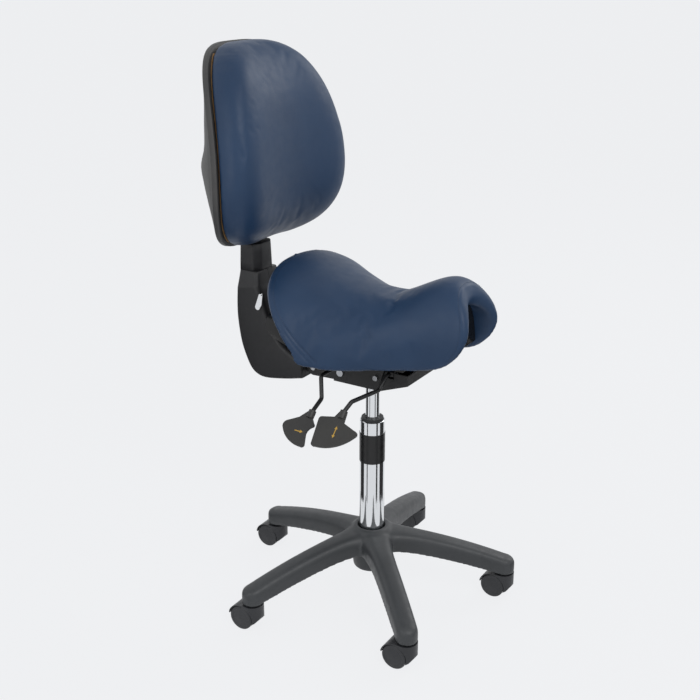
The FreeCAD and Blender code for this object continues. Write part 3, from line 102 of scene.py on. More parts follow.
def vary_color(material, value, first, second, low=0.35, high=0.65):
    """Base colour that drifts between two colours."""
    ramp = material.node_tree.nodes.new("ShaderNodeValToRGB")
    ramp.color_ramp.elements[0].position = low
    ramp.color_ramp.elements[0].color = linear(*first)
    ramp.color_ramp.elements[1].position = high
    ramp.color_ramp.elements[1].color = linear(*second)
    wire(material, value, ramp.inputs["Fac"])
    main = material.node_tree.nodes["Principled BSDF"]
    wire(material, ramp.outputs["Color"], main.inputs["Base Color"])


def vary_rough(material, value, low, high):
    main = material.node_tree.nodes["Principled BSDF"]
    wire(material, spread(material, value, 0.3, 0.7, low, high), main.inputs["Roughness"])


def bump(material, layers):
    """Bump from several (height, strength, distance) layers."""
    main = material.node_tree.nodes["Principled BSDF"]
    last = None
    for height, strength, distance in layers:
        node = add(material, "ShaderNodeBump", Strength=strength, Distance=distance)
        wire(material, height, node.inputs["Height"])
        if last is not None:
            wire(material, last, node.inputs["Normal"])
        last = node.outputs["Normal"]
    wire(material, last, main.inputs["Normal"])


def cells(material, scale):
    """Distance to the nearest cell edge: the grain of vinyl and moulded plastic."""
    node = add(material, "ShaderNodeTexVoronoi", Scale=scale)
    node.feature = "DISTANCE_TO_EDGE"
    wire(material, place_of(material), node.inputs["Vector"])
    return node.outputs["Distance"]


def vinyl(name, first, second):
    material = shader(name, first, 0.46, specular=0.32, coat=0.05, coat_rough=0.4)
    cloud = noise_of(material, 9.0, 4.0)
    vary_color(material, cloud, first, second)
    vary_rough(material, noise_of(material, 60.0, 3.0), 0.43, 0.52)
    bump(material, [
        (cells(material, 900.0), 0.10, 0.0002),
        (noise_of(material, 40.0, 3.0), 0.06, 0.002),
    ])
    return material


def grained_plastic(name, first, second, rough, grain=700.0, strength=0.25):
    material = shader(name, first, rough, specular=0.45)
    vary_color(material, noise_of(material, 14.0, 4.0), first, second)
    vary_rough(material, noise_of(material, 90.0, 2.0), rough - 0.05, rough + 0.06)
    bump(material, [(noise_of(material, grain, 2.0, 0.6), strength, 0.0003)])
    return material


def leather_grain_plastic(name, first, second, rough):
    material = shader(name, first, rough, specular=0.4)
    vary_color(material, noise_of(material, 20.0, 4.0), first, second)
    bump(material, [
        (cells(material, 420.0), 0.5, 0.0005),
        (noise_of(material, 1200.0, 2.0), 0.3, 0.0002),
    ])
    return material


def steel(name, color, rough, streak=400.0):
    material = shader(name, color, rough, metal=1.0)
    vary_rough(material, noise_of(material, streak, 3.0), rough - 0.06, rough + 0.08)
    bump(material, [(noise_of(material, streak * 2, 2.0), 0.08, 0.0002)])
    return material


def chrome(name):
    material = shader(name, (226, 228, 230), 0.07, metal=1.0)
    vary_rough(material, noise_of(material, 30.0, 3.0), 0.04, 0.11)
    bump(material, [(noise_of(material, 25.0, 2.0), 0.02, 0.001)])
    return material


NAVY = vinyl("navy_vinyl", (30, 54, 83), (33, 58, 88))
THREAD = grained_plastic("navy_thread", (24, 44, 70), (30, 50, 76), 0.6, 1500.0)
SHELL_GREY = leather_grain_plastic("shell_grey", (62, 62, 62), (70, 69, 68), 0.52)
BASE_NYLON = grained_plastic("base_nylon", (54, 56, 58), (61, 63, 65), 0.46)
COVER_BLACK = grained_plastic("cover_black", (27, 27, 29), (32, 32, 34), 0.48, 900.0, 0.3)
SLEEVE_BLACK = grained_plastic("sleeve_black", (26, 26, 28), (31, 31, 33), 0.5, 700.0, 0.3)
GLOSS_BLACK = grained_plastic("gloss_black", (14, 14, 15), (17, 17, 18), 0.16, 60.0, 0.03)
BAND_BLACK = grained_plastic("band_black", (16, 16, 17), (20, 20, 21), 0.34, 500.0, 0.08)
PADDLE_BLACK = grained_plastic("paddle_black", (44, 43, 42), (50, 49, 47), 0.45, 800.0, 0.35)
POWDER_BLACK = grained_plastic("powder_coat", (22, 22, 23), (27, 27, 28), 0.42, 1100.0, 0.35)
WHEEL_GREY = grained_plastic("wheel_grey", (38, 39, 42), (44, 45, 48), 0.42)
RUBBER = grained_plastic("rubber_black", (24, 24, 25), (30, 30, 31), 0.75)
PLY = grained_plastic("plywood", (178, 140, 92), (158, 120, 76), 0.7, 200.0)
CHROME = chrome("chrome_plate")
BRIGHT = steel("bright_steel", (176, 178, 182), 0.3)
FLAG_BLACK = grained_plastic("flag_black", (12, 12, 12), (16, 16, 16), 0.9)
GOLD = shader("gold_mark", (196, 158, 74), 0.4, metal=0.6)
vary_rough(GOLD, noise_of(GOLD, 300.0), 0.35, 0.5)


# Shape helpers

def spline(xs, ys):
    """Natural cubic through the points, as a function."""
    xs = np.array(xs, float)
    ys = np.array(ys, float)
    count = len(xs)
    step = np.diff(xs)
    matrix = np.zeros((count, count))
    right = np.zeros(count)
    matrix[0, 0] = matrix[-1, -1] = 1
    for i in range(1, count - 1):
        matrix[i, i - 1:i + 2] = step[i - 1], 2 * (step[i - 1] + step[i]), step[i]
        right[i] = 6 * ((ys[i + 1] - ys[i]) / step[i] - (ys[i] - ys[i - 1]) / step[i - 1])
    second = np.linalg.solve(matrix, right)

    def value(x):
        i = int(min(max(np.searchsorted(xs, x) - 1, 0), count - 2))
        a = (xs[i + 1] - x) / step[i]
        b = (x - xs[i]) / step[i]
        bend = ((a ** 3 - a) * second[i] + (b ** 3 - b) * second[i + 1]) * step[i] ** 2 / 6
        return float(a * ys[i] + b * ys[i + 1] + bend)
    return value


def new_object(name, verts, faces, smooth=True):
    """Mesh object from points in millimetres."""
    mesh = bpy.data.meshes.new(name)
    mesh.from_pydata([Vector(v) * MM for v in verts], [], faces)
    mesh.validate()
    obj = bpy.data.objects.new(name, mesh)
    bpy.context.scene.collection.objects.link(obj)
    work = bmesh.new()
    work.from_mesh(mesh)
    bmesh.ops.remove_doubles(work, verts=work.verts, dist=1e-6)
    bmesh.ops.recalc_face_normals(work, faces=work.faces)
    work.to_mesh(mesh)
    work.free()
    for polygon in mesh.polygons:
        polygon.use_smooth = smooth
    return obj


def grid_faces(rows, columns, wrap_columns=False, wrap_rows=False, start=0):
    faces = []
    for i in range(rows if wrap_rows else rows - 1):
        for j in range(columns if wrap_columns else columns - 1):
            a = start + i * columns + j
            b = start + i * columns + (j + 1) % columns
            c = start + ((i + 1) % rows) * columns + (j + 1) % columns
            d = start + ((i + 1) % rows) * columns + j
            faces.append((a, b, c, d))
    return faces


def add_rings(verts, faces, rings, cap_first=True):
    """Closed rings of points joined one after another, added to the points and faces given."""
    start = len(verts)
    size = len(rings[0])
    verts += [point for ring in rings for point in ring]
    faces += grid_faces(len(rings), size, wrap_columns=True, start=start)
    if cap_first:
        faces.append(tuple(range(start, start + size)))
    faces.append(tuple(range(len(verts) - size, len(verts))))


def rings_object(name, rings, cap_first=True):
    verts = []
    faces = []
    add_rings(verts, faces, rings, cap_first)
    return new_object(name, verts, faces)


def paint(obj, material):
    obj.data.materials.clear()
    obj.data.materials.append(material)


def attach(obj, body, slot, material, *replaced):
    paint(obj, material)
    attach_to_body(obj, body)
    if replaced:
        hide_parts(*replaced)
    return obj


def soften(obj, width, segments=3, angle=35):
    """Rounded edges and smooth shading on a hard piece."""
    modifier = obj.modifiers.new("edges", "BEVEL")
    modifier.width = width * MM
    modifier.segments = segments
    modifier.limit_method = "ANGLE"
    modifier.angle_limit = math.radians(angle)
    modifier.use_clamp_overlap = True
    modifier.harden_normals = True
    for polygon in obj.data.polygons:
        polygon.use_smooth = True


def apply_all(obj):
    """Make the modifiers part of the mesh."""
    graph = bpy.context.evaluated_depsgraph_get()
    mesh = bpy.data.meshes.new_from_object(obj.evaluated_get(graph))
    obj.modifiers.clear()
    obj.data = mesh
    for polygon in obj.data.polygons:
        polygon.use_smooth = True


def remesh(obj, voxel):
    modifier = obj.modifiers.new("voxels", "REMESH")
    modifier.mode = "VOXEL"
    modifier.voxel_size = voxel * MM
    modifier.use_smooth_shade = True
    apply_all(obj)


def relax(obj, factor, times):
    modifier = obj.modifiers.new("relax", "SMOOTH")
    modifier.factor = factor
    modifier.iterations = times
    apply_all(obj)


def puff(obj, pressure, cap, frames=16):
    """Cover pulled tight over foam: a short cloth simulation with a capped movement."""
    before = [v.co.copy() for v in obj.data.vertices]
    cloth = obj.modifiers.new("cover", "CLOTH")
    settings = cloth.settings
    settings.quality = 5
    settings.mass = 0.3
    settings.tension_stiffness = 18
    settings.compression_stiffness = 18
    settings.shear_stiffness = 8
    settings.bending_stiffness = 2.5
    settings.use_pressure = True
    settings.uniform_pressure_force = pressure
    settings.effector_weights.gravity = 0
    settings.shrink_min = 0.012
    cloth.collision_settings.use_collision = False
    cloth.point_cache.frame_start = 1
    cloth.point_cache.frame_end = frames
    scene = bpy.context.scene
    for number in range(1, frames + 1):
        scene.frame_set(number)
    graph = bpy.context.evaluated_depsgraph_get()
    mesh = obj.evaluated_get(graph).data
    after = [v.co.copy() for v in mesh.vertices]
    obj.modifiers.clear()
    limit = cap * MM
    for vertex, old, new in zip(obj.data.vertices, before, after):
        move = new - old
        if move.length > limit:
            move *= limit / move.length
        vertex.co = old + move
    scene.frame_set(1)


def subdivide(obj, levels=1):
    modifier = obj.modifiers.new("finer", "SUBSURF")
    modifier.levels = levels
    modifier.render_levels = levels
    apply_all(obj)


COVER_VOXEL = 5.0
COVER_PRESSURE = 2.0
COVER_CAP = 3.0


def upholster(obj, smoothing):
    """Even mesh, relaxed, pulled tight and made finer."""
    remesh(obj, COVER_VOXEL)
    relax(obj, 0.5, smoothing)
    puff(obj, COVER_PRESSURE, COVER_CAP)
    relax(obj, 0.4, 3)
    subdivide(obj)
    return obj


def tree_of(obj):
    work = bmesh.new()
    work.from_mesh(obj.data)
    tree = BVHTree.FromBMesh(work)
    work.free()
    return tree


def resample(points, gap):
    """Evenly spaced points along a polyline, in millimetres."""
    points = [Vector(p) for p in points]
    out = [points[0].copy()]
    left = gap
    for a, b in zip(points, points[1:]):
        length = (b - a).length
        at = 0.0
        while length - at >= left:
            at += left
            out.append(a.lerp(b, at / length))
            left = gap
        left -= length - at
    return out


def groove(obj, line, depth, width):
    """Press a line, in millimetres, into the surface."""
    points = resample(line, 1.5)
    finder = KDTree(len(points))
    for i, point in enumerate(points):
        finder.insert(point * MM, i)
    finder.balance()
    normals = [v.normal.copy() for v in obj.data.vertices]
    for vertex, normal in zip(obj.data.vertices, normals):
        _, _, distance = finder.find(vertex.co)
        share = distance / (width * MM)
        if share < 1:
            vertex.co -= normal * (depth * MM * (1 - share * share) ** 2)


def on_surface(tree, point):
    found, normal, _, _ = tree.find_nearest(Vector(point) * MM)
    return found / MM, normal


STITCH_SIDES = 6
# Share of the length, share of the radius and lift of each ring of a stitch.
STITCH_RINGS = ((0.0, 0.35, -0.5), (0.18, 0.9, 0.1), (0.5, 1.0, 0.35), (0.82, 0.9, 0.1), (1.0, 0.35, -0.5))


def capsule(verts, faces, a, b, radius, normal):
    """Small stitch from a to b that sinks at both ends."""
    along = b - a
    length = along.length
    if length < 1e-6:
        return
    along = along / length
    side = along.cross(normal).normalized()
    rings = []
    for share, grow, lift in STITCH_RINGS:
        middle = a + along * (length * share) + normal * (radius * lift)
        ring = []
        for k in range(STITCH_SIDES):
            angle = math.tau * k / STITCH_SIDES
            offset = side * math.cos(angle) + normal * math.sin(angle)
            ring.append(middle + offset * radius * grow)
        rings.append(ring)
    add_rings(verts, faces, rings)


def stitches(name, tree, lines, length=3.2, gap=1.4, radius=0.45, lift=0.1):
    """Rows of stitches on a surface along lines in millimetres."""
    verts = []
    faces = []
    for line in lines:
        points = resample(line, (length + gap) / 2)
        for i in range(0, len(points) - 1, 2):
            a, normal = on_surface(tree, points[i])
            b, _ = on_surface(tree, points[i + 1])
            capsule(verts, faces, a + normal * lift, b + normal * lift, radius, normal)
    return new_object(name, verts, faces)


# Saddle seat

SEAT_T = [0, .12, .28, .45, .62, .80, .92, 1.0]
SEAT_CURVES = {
    "yc": [-196, -170, -116, -52, 20, 98, 146, 180],
    "zc": [688, 699, 681, 655, 656, 679, 691, 695],
    "hw": [78, 79, 87, 108, 136, 162, 174, 172],
    "zb": [564, 551, 539, 532, 528, 535, 546, 562],
    "ex": [2.5, 2.5, 2.5, 2.35, 2.35, 2.42, 2.45, 2.4],
    "d1": [-36, -34, -26, -12, -4, -14, -30, -42],
    "d2": [33, 25, 18, 6, -8, -27, -44, -61],
}
SEAT = {key: spline(SEAT_T, values) for key, values in SEAT_CURVES.items()}


SEAT_FOAM_FRONT = 38
SEAT_FOAM_MORE = 16
SEAT_FLAP = 20


def saddle(t, angle):
    """Point of the saddle's top: t from front to rear, angle from the near edge to the far edge."""
    sine = math.sin(math.radians(angle))
    power = 2 / SEAT["ex"](t)
    across = math.copysign(abs(sine) ** power, sine)
    up = abs(math.cos(math.radians(angle))) ** power
    undercut = 2 + 2 * max(1 - t / 0.25, 0)
    y = SEAT["yc"](t) + SEAT["d1"](t) * abs(across) ** 2.2 + SEAT["d2"](t) * (1 - up) ** undercut
    z = SEAT["zb"](t) + (SEAT["zc"](t) - SEAT["zb"](t)) * up
    return Vector((SEAT["hw"](t) * across, y, z))


def seat_thickness(t, edge):
    """Foam under the ridge, thicker from the front to the rear, and thinnest at the flaps."""
    ridge = SEAT_FOAM_FRONT + SEAT_FOAM_MORE * min(t / 0.3, 1)
    return ridge * (1 - edge) + SEAT_FLAP * edge


def seat_cushion():
    rows, columns = 56, 65
    outer = []
    inner = []
    for i in range(rows):
        t = i / (rows - 1)
        outer_row = []
        inner_row = []
        for j in range(columns):
            angle = -90 + 180 * j / (columns - 1)
            point = saddle(t, angle)
            edge = abs(math.sin(math.radians(angle))) ** 3
            thick = seat_thickness(t, edge)
            narrow = 1 - thick / max(SEAT["hw"](t), 1) * 0.98
            outer_row.append(point)
            inner_row.append(Vector((point.x * narrow, point.y, point.z - thick * (1 - edge))))
        outer.append(outer_row)
        inner.append(inner_row)
    loop = []
    for j in range(columns):
        loop.append((0, j, Vector((0, -1, -0.1))))
    for i in range(1, rows):
        loop.append((i, columns - 1, Vector((0, 0, -1))))
    for j in range(columns - 2, -1, -1):
        loop.append((rows - 1, j, Vector((0, 1, -0.25))))
    for i in range(rows - 2, 0, -1):
        loop.append((i, 0, Vector((0, 0, -1))))
    verts = [p for row in outer for p in row]
    start_inner = len(verts)
    verts += [p for row in inner for p in row]
    faces = grid_faces(rows, columns)
    faces += [tuple(reversed(f)) for f in grid_faces(rows, columns, start=start_inner)]
    steps = 4
    rings = []
    for step in range(1, steps):
        share = step / steps
        ring = []
        for i, j, out in loop:
            a = outer[i][j]
            b = inner[i][j]
            bulge = (a - b).length * 0.32 * math.sin(math.pi * share)
            ring.append(len(verts))
            verts.append(a.lerp(b, share) + out.normalized() * bulge)
        rings.append(ring)
    first = [i * columns + j for i, j, _ in loop]
    last = [start_inner + i * columns + j for i, j, _ in loop]
    chain = [first] + rings + [last]
    for low, high in zip(chain, chain[1:]):
        for k in range(len(loop)):
            n = (k + 1) % len(loop)
            faces.append((low[k], low[n], high[n], high[k]))
    return upholster(new_object("seat_cover", verts, faces), 6)


seat = seat_cushion()


def saddle_line(points, count=80):
    """Line on the saddle through (t, angle) points."""
    ts = spline(range(len(points)), [p[0] for p in points])
    angles = spline(range(len(points)), [p[1] for p in points])
    line = []
    for k in range(count + 1):
        at = (len(points) - 1) * k / count
        line.append(saddle(min(max(ts(at), 0), 1), angles(at)))
    return line


def mirrored(points):
    """Line from the near edge over the ridge to the far edge."""
    return points + [(t, -angle) for t, angle in reversed(points[:-1])]


REAR_SEAM = mirrored([
    (0.70, -86), (0.80, -75), (0.88, -65.5), (0.93, -58),
    (0.955, -50), (0.968, -36), (0.972, -18), (0.972, 0),
])
OUTER_SEAM = mirrored([
    (0.735, -87), (0.825, -77.5), (0.905, -67.5), (0.95, -59.5),
    (0.972, -51), (0.984, -36), (0.987, -18), (0.987, 0),
])
FRONT_SEAM = mirrored([(0.03, -88), (0.022, -70), (0.02, -50), (0.02, -28), (0.02, 0)])
SEAM_DEPTH = 1.1
SEAM_WIDTH = 3.6
REAR_STITCH_STEP = 0.012
FRONT_STITCH_STEP = 0.014
seam_lines = [saddle_line(line, 160) for line in (REAR_SEAM, OUTER_SEAM, FRONT_SEAM)]
for line in seam_lines:
    groove(seat, line, SEAM_DEPTH, SEAM_WIDTH)
SEAT_TREE = tree_of(seat)
attach(seat, "seat", "navy_vinyl", NAVY, "seat_cushion")
seat_thread = stitches("seat_stitches", SEAT_TREE, [
    saddle_line([(t - REAR_STITCH_STEP, angle) for t, angle in REAR_SEAM], 160),
    saddle_line([(t + FRONT_STITCH_STEP, angle) for t, angle in FRONT_SEAM], 160),
])
attach(seat_thread, "seat", "navy_vinyl", THREAD)


# Backrest

BACK_HALF_WIDTH = 179
BACK_HALF_HEIGHT = 190
BACK_TAPER = 0.17
BACK_WINGS = 1.17
BACK_LUMBAR = 30
BACK_MIDDLE = 287.3
BACK_CENTRE = 902
BACK_FULLNESS = 5.5
BACK_FOAM = 62
BACK_EDGE = 14
RECLINE = math.radians(6.2)


FRONT_SCALES = (0.02, 0.1, 0.2, 0.3, 0.4, 0.5, 0.6, 0.7, 0.78, 0.85, 0.9, 0.94, 0.965, 0.985, 0.996, 1.0)
REAR_SCALES = (0.965, 0.93, 0.88, 0.82, 0.75, 0.67, 0.58, 0.5, 0.42, 0.34, 0.26, 0.18, 0.1, 0.03)


def back_place(u, depth, height):
    """Point of the backrest: sideways, forwards of its middle and up its face, to the stool's frame."""
    y = -depth
    return Vector((u, BACK_MIDDLE + y * math.cos(RECLINE) + height * math.sin(RECLINE),
                   BACK_CENTRE - y * math.sin(RECLINE) + height * math.cos(RECLINE)))


def rim(u, share):
    return BACK_WINGS * u * u / 1000 + BACK_LUMBAR * (1 - share * share)


def back_outline(count=120):
    """Rounded outline of the backrest as (u, height) points."""
    points = []
    for k in range(count):
        angle = math.tau * k / count
        cosine = math.cos(angle)
        sine = math.sin(angle)
        share = math.copysign(abs(sine) ** (2 / 2.55), sine)
        wide = BACK_HALF_WIDTH * (1 - BACK_TAPER * share)
        across = math.copysign(abs(cosine) ** (2 / 3.35), cosine)
        points.append((wide * across, BACK_HALF_HEIGHT * share))
    return points


def back_ring(scale, depth_of, count=120):
    """Ring of points at a scale of the outline, with depth from depth_of(u, share, scale)."""
    ring = []
    for u, height in back_outline(count):
        across = u * scale
        up = height * scale
        share = up / BACK_HALF_HEIGHT
        ring.append(back_place(across, depth_of(across, share, scale), up))
    return ring


def backrest_cushion():
    def front(u, share, scale):
        share = min(max(share, -0.999), 0.999)
        wide = BACK_HALF_WIDTH * (1 - BACK_TAPER * share) * (1 - abs(share) ** 2.55) ** (1 / 3.35)
        side = max(1 - min(abs(u) / wide, 1) ** BACK_FULLNESS, 0) ** 0.5
        return rim(u, share) + BACK_EDGE + BACK_FOAM * side * (1 - share ** 6) ** 0.5
    rings = [back_ring(scale, front) for scale in FRONT_SCALES]
    for scale, step in ((1.0, 5), (0.985, 1.2), (0.9, 1.2), (0.5, 1.2), (0.02, 1.2)):
        rings.append(back_ring(scale, lambda u, share, _: rim(u, share) + step))
    return upholster(rings_object("backrest_cover", rings), 4)


back = backrest_cushion()
attach(back, "backrest", "navy_vinyl", NAVY, "backrest_cushion")

DEPTH_AT = spline((-1.0, -0.9, -0.75, -0.5, -0.25, -0.12, 0.0, 0.25, 0.5, 0.75, 0.9, 1.0),
                  (16, 24, 36, 47, 55, 56, 44, 36, 29, 24, 20, 16))


def backrest_shell():
    """Moulded shell: an upright edge, then slopes that rise to the deep middle."""
    def slope(u, share, scale):
        edge = rim(u / max(scale, 0.01), share)
        deep = DEPTH_AT(share)
        blend = 1 - min(scale, 1) ** 2.6
        return (edge - BACK_EDGE) * (1 - blend) - deep * blend

    rings = [
        back_ring(0.9, lambda u, s, r: rim(u, s) - 2),
        back_ring(0.985, lambda u, s, r: rim(u, s) - 1.5),
        back_ring(1.0, lambda u, s, r: rim(u, s) - 2.0),
        back_ring(1.003, lambda u, s, r: rim(u, s) - 4.0),
        back_ring(1.003, lambda u, s, r: rim(u, s) - BACK_EDGE + 2),
        back_ring(0.997, lambda u, s, r: rim(u, s) - BACK_EDGE - 0.5),
        back_ring(0.985, lambda u, s, r: rim(u, s) - BACK_EDGE - 1.0),
    ]
    rings += [back_ring(scale, slope) for scale in REAR_SCALES]
    return rings_object("backrest_back", rings, cap_first=False)


shell = backrest_shell()
attach(shell, "backrest", "grey_shell", SHELL_GREY, "backrest_shell")


# Bracket covers and the sleeve on the bar

# Stations along the bent cover, from its front end to its top: outer and inner point.
COVER_STATIONS = [
    ((138, 454), (138, 494)),
    ((172, 446), (160, 502)),
    ((205, 440), (180, 514)),
    ((236, 438), (196, 530)),
    ((258, 448), (207, 547)),
    ((270, 466), (215, 563)),
    ((282, 495), (221, 577)),
    ((289, 526), (226, 591)),
    ((293, 560), (231, 606)),
    ((293, 592), (236, 620)),
    ((291.5, 618), (239.5, 628)),
    ((290.5, 636), (243, 640)),
    ((290, 654), (246.5, 653.5)),
]
COVER_HALF = 45
COVER_NARROWING = 11.4
COVER_STEPS = 44


def station_curves(stations, column):
    places = range(len(stations))
    ys = spline(places, [row[column][0] for row in stations])
    zs = spline(places, [row[column][1] for row in stations])
    return lambda at: (ys(at), zs(at))


def rounded_half(inner, outer, half, inner_round, outer_round, side, seam=0.15, steps=5):
    """Half of a rounded box section between an inner and an outer point in the side view."""
    inner = Vector((0, inner[0], inner[1]))
    outer = Vector((0, outer[0], outer[1]))
    depth = (outer - inner).length
    way = (outer - inner) / depth
    ring = [(seam, 0.0), (half * 0.4, 0.0)]
    for k in range(steps + 1):
        angle = math.pi / 2 * k / steps
        across = half - inner_round * (1 - math.sin(angle))
        ring.append((across, inner_round * (1 - math.cos(angle))))
    ring.append((half, depth * 0.5))
    for k in range(steps + 1):
        angle = math.pi / 2 * k / steps
        across = half - outer_round * (1 - math.cos(angle))
        ring.append((across, depth - outer_round * (1 - math.sin(angle))))
    ring += [(half * 0.4, depth), (seam, depth), (seam, depth * 0.5)]
    return [inner + way * along + Vector((side * across, 0, 0)) for across, along in ring]


def half_cover(name, side):
    outer = station_curves(COVER_STATIONS, 0)
    inner = station_curves(COVER_STATIONS, 1)
    last = len(COVER_STATIONS) - 1
    bend = last - 2
    places = [0, 0.03] + [bend * k / COVER_STEPS for k in range(1, COVER_STEPS + 1)]
    places += [bend + 0.04, bend + 0.5, bend + 1, bend + 1.5, last - 0.04, last]
    rings = []
    for at in places:
        over = max(at - bend, 0) / 2
        half = COVER_HALF - COVER_NARROWING * over
        tuck = 1.2 if at in (0, last) else 0.0
        rings.append(rounded_half(inner(at), outer(at), half - tuck, 11 - 5 * over, 7 - 2 * over, side))
    return rings_object(name, rings)


for name, side in (("bracket_cover_left", -1), ("bracket_cover_right", 1)):
    cover = half_cover(name + "_shell", side)
    soften(cover, 0.5, 2, 40)
    attach(cover, "back_arm", "black_plastic", COVER_BLACK, name)


def sleeve_ring(height, half, front, rear, bevel, deep, radius=3.0):
    """Square ring with bevelled front corners and rounded rear corners."""
    corners = [
        (-half, rear), (-half, front + deep), (-half + bevel, front),
        (half - bevel, front), (half, front + deep), (half, rear),
    ]
    ring = []
    count = len(corners)
    for i, corner in enumerate(corners):
        here = Vector(corner)
        before = (Vector(corners[i - 1]) - here).normalized()
        after = (Vector(corners[(i + 1) % count]) - here).normalized()
        first = here + before * radius
        last = here + after * radius
        for k in range(4):
            share = k / 3
            ring.append(first.lerp(here, share).lerp(here.lerp(last, share), share))
    return [Vector((x, y, height)) for x, y in ring]


SLEEVE_HALF = 32.6
SLEEVE_FRONT = 247.5
SLEEVE_REAR = 290
# Height and growth of each ring of the sleeve.
SLEEVE_STATIONS = (
    (652.5, -1.0), (653.5, 0), (670, -0.4), (690, -1.2),
    (705.5, -1.8), (707.2, -2.6), (708, -4.5),
)


def bar_sleeve():
    rings = []
    for height, grow in SLEEVE_STATIONS:
        front = SLEEVE_FRONT - grow * 0.5
        rear = SLEEVE_REAR + grow * 0.5
        rings.append(sleeve_ring(height, SLEEVE_HALF + grow, front, rear, 15, 11))
    obj = rings_object("sleeve_shell", rings)
    soften(obj, 0.4, 2, 50)
    attach(obj, "back_arm", "black_plastic", SLEEVE_BLACK, "bar_sleeve")


bar_sleeve()


# Marks on the lever paddles

# Underside and face of a mark above the middle of its paddle.
MARK_LIFTS = (2.45, 2.75)


def paddle_frame(spot):
    """Axes of a paddle: outward and down, to the front, and out of its face."""
    slope = math.radians(45)
    outward = Vector((-math.cos(slope), 0, -math.sin(slope)))
    forward = Vector((0, -1, 0))
    return Vector(spot) + outward * 2.2, outward, forward, outward.cross(forward)


def arrow_mark(name, spot, centre, turn, heads, body):
    """Thin raised arrow with one or two heads on a paddle's face."""
    origin, outward, forward, normal = paddle_frame(spot)
    shapes = [[(-6, -0.9), (6, -0.9), (6, 0.9), (-6, 0.9)]]
    for head in heads:
        shapes.append([(head * 6, -3.2), (head * 11.5, 0), (head * 6, 3.2)])
    verts = []
    faces = []
    for shape in shapes:
        start = len(verts)
        count = len(shape)
        for lift in MARK_LIFTS:
            for a, b in shape:
                x = a * math.cos(turn) - b * math.sin(turn) + centre[0]
                y = a * math.sin(turn) + b * math.cos(turn) + centre[1]
                verts.append(origin + outward * x + forward * y + normal * lift)
        faces.append(tuple(range(start, start + count)))
        faces.append(tuple(range(start + count, start + 2 * count)))
        for k in range(count):
            n = (k + 1) % count
            faces.append((start + k, start + n, start + count + n, start + count + k))
    obj = new_object(name, verts, faces, smooth=False)
    attach(obj, body, "black_plastic", GOLD)


arrow_mark("height_mark", (-180, -48, 477), (40, 0), math.radians(180), (1, -1), "height_lever")
arrow_mark("tilt_mark", (-168, 28, 456), (42, -12), math.radians(90), (1,), "tilt_lever")


# Carried-over hard pieces: edges and finishes

def finish_node(name, material, width=0.6, segments=2, angle=35):
    obj = NODES[name]
    paint(obj, material)
    soften(obj, width, segments, angle)


finish_node("column_tube", CHROME, 0.5)
finish_node("column_band", BAND_BLACK, 0.2)
finish_node("guide_bush", COVER_BLACK, 0.6)
finish_node("gas_cylinder", CHROME, 0.3)
SMALL_STEEL = (
    "caster_stems", "piston_rod", "retaining_clip", "thrust_bearing", "rod_gland", "release_button",
    "taper_socket", "lever_pins", "tilt_axle", "clamp_bolt", "back_pivot_pin", "seat_screws", "back_screws",
)
for name in SMALL_STEEL:
    finish_node(name, BRIGHT, 0.3)
finish_node("rubber_buffer", RUBBER, 0.5)
for name in ("mechanism_housing", "back_hinge_bracket", "back_bar", "seat_plate"):
    finish_node(name, POWDER_BLACK, 1.0)
for name in ("height_lever_rod", "tilt_lever_rod"):
    finish_node(name, POWDER_BLACK, 0.5)
finish_node("slide_carriage", COVER_BLACK, 1.0)
finish_node("seat_shell", GLOSS_BLACK, 0.8)
finish_node("backrest_board", PLY, 0.8)
for name in ("back_lock_shaft", "back_lock_lever"):
    finish_node(name, CHROME, 0.8)
for name in ("height_lever_paddle", "tilt_lever_paddle"):
    finish_node(name, PADDLE_BLACK, 1.2, 3)
for number in range(1, 6):
    caster = "caster_%d_" % number
    finish_node(caster + "body", WHEEL_GREY, 1.2, 3)
    finish_node(caster + "axle", BRIGHT, 0.3)
    finish_node(caster + "wheel_left", WHEEL_GREY, 0.4)
    finish_node(caster + "wheel_right", WHEEL_GREY, 0.4)


# Moulded base: five arms that flow into the hub and round off at their ends, open underneath

HUB_RADIUS = 43
ARM_REACH = 272
ARM_TURN = 8.8
ARM_COUNT = 5
ARM_END = 21
ARM_WALL = 4
ARM_ROOT = 23
ARM_FLARE = 17
FLARE_LENGTH = 26
ARM_ARCH = 36
ARM_END_DROP = 15
HUB_TOP = 150
HUB_BOTTOM = 106
END_TOP = 91
END_BOTTOM = 55
BASE_VOXEL = 2.6


def arm_top(x):
    share = min(x / ARM_REACH, 1)
    line = HUB_TOP + (END_TOP - HUB_TOP) * share + ARM_ARCH * share * (1 - share)
    past = max(x - ARM_REACH + 4, 0) / (ARM_END + 4)
    return line - ARM_END_DROP * (1 - math.sqrt(max(1 - past * past, 0)))


def arm_bottom(x):
    share = min(x / ARM_REACH, 1)
    return HUB_BOTTOM + (END_BOTTOM - HUB_BOTTOM) * share ** 1.6


def arm_half(x):
    flare = ARM_FLARE * math.exp(-max(x - 30, 0) / FLARE_LENGTH)
    half = ARM_ROOT + (ARM_END - ARM_ROOT) * min(x / ARM_REACH, 1) + flare
    past = max(x - ARM_REACH, 0) / ARM_END
    return half * math.sqrt(max(1 - past * past, 0.0025))


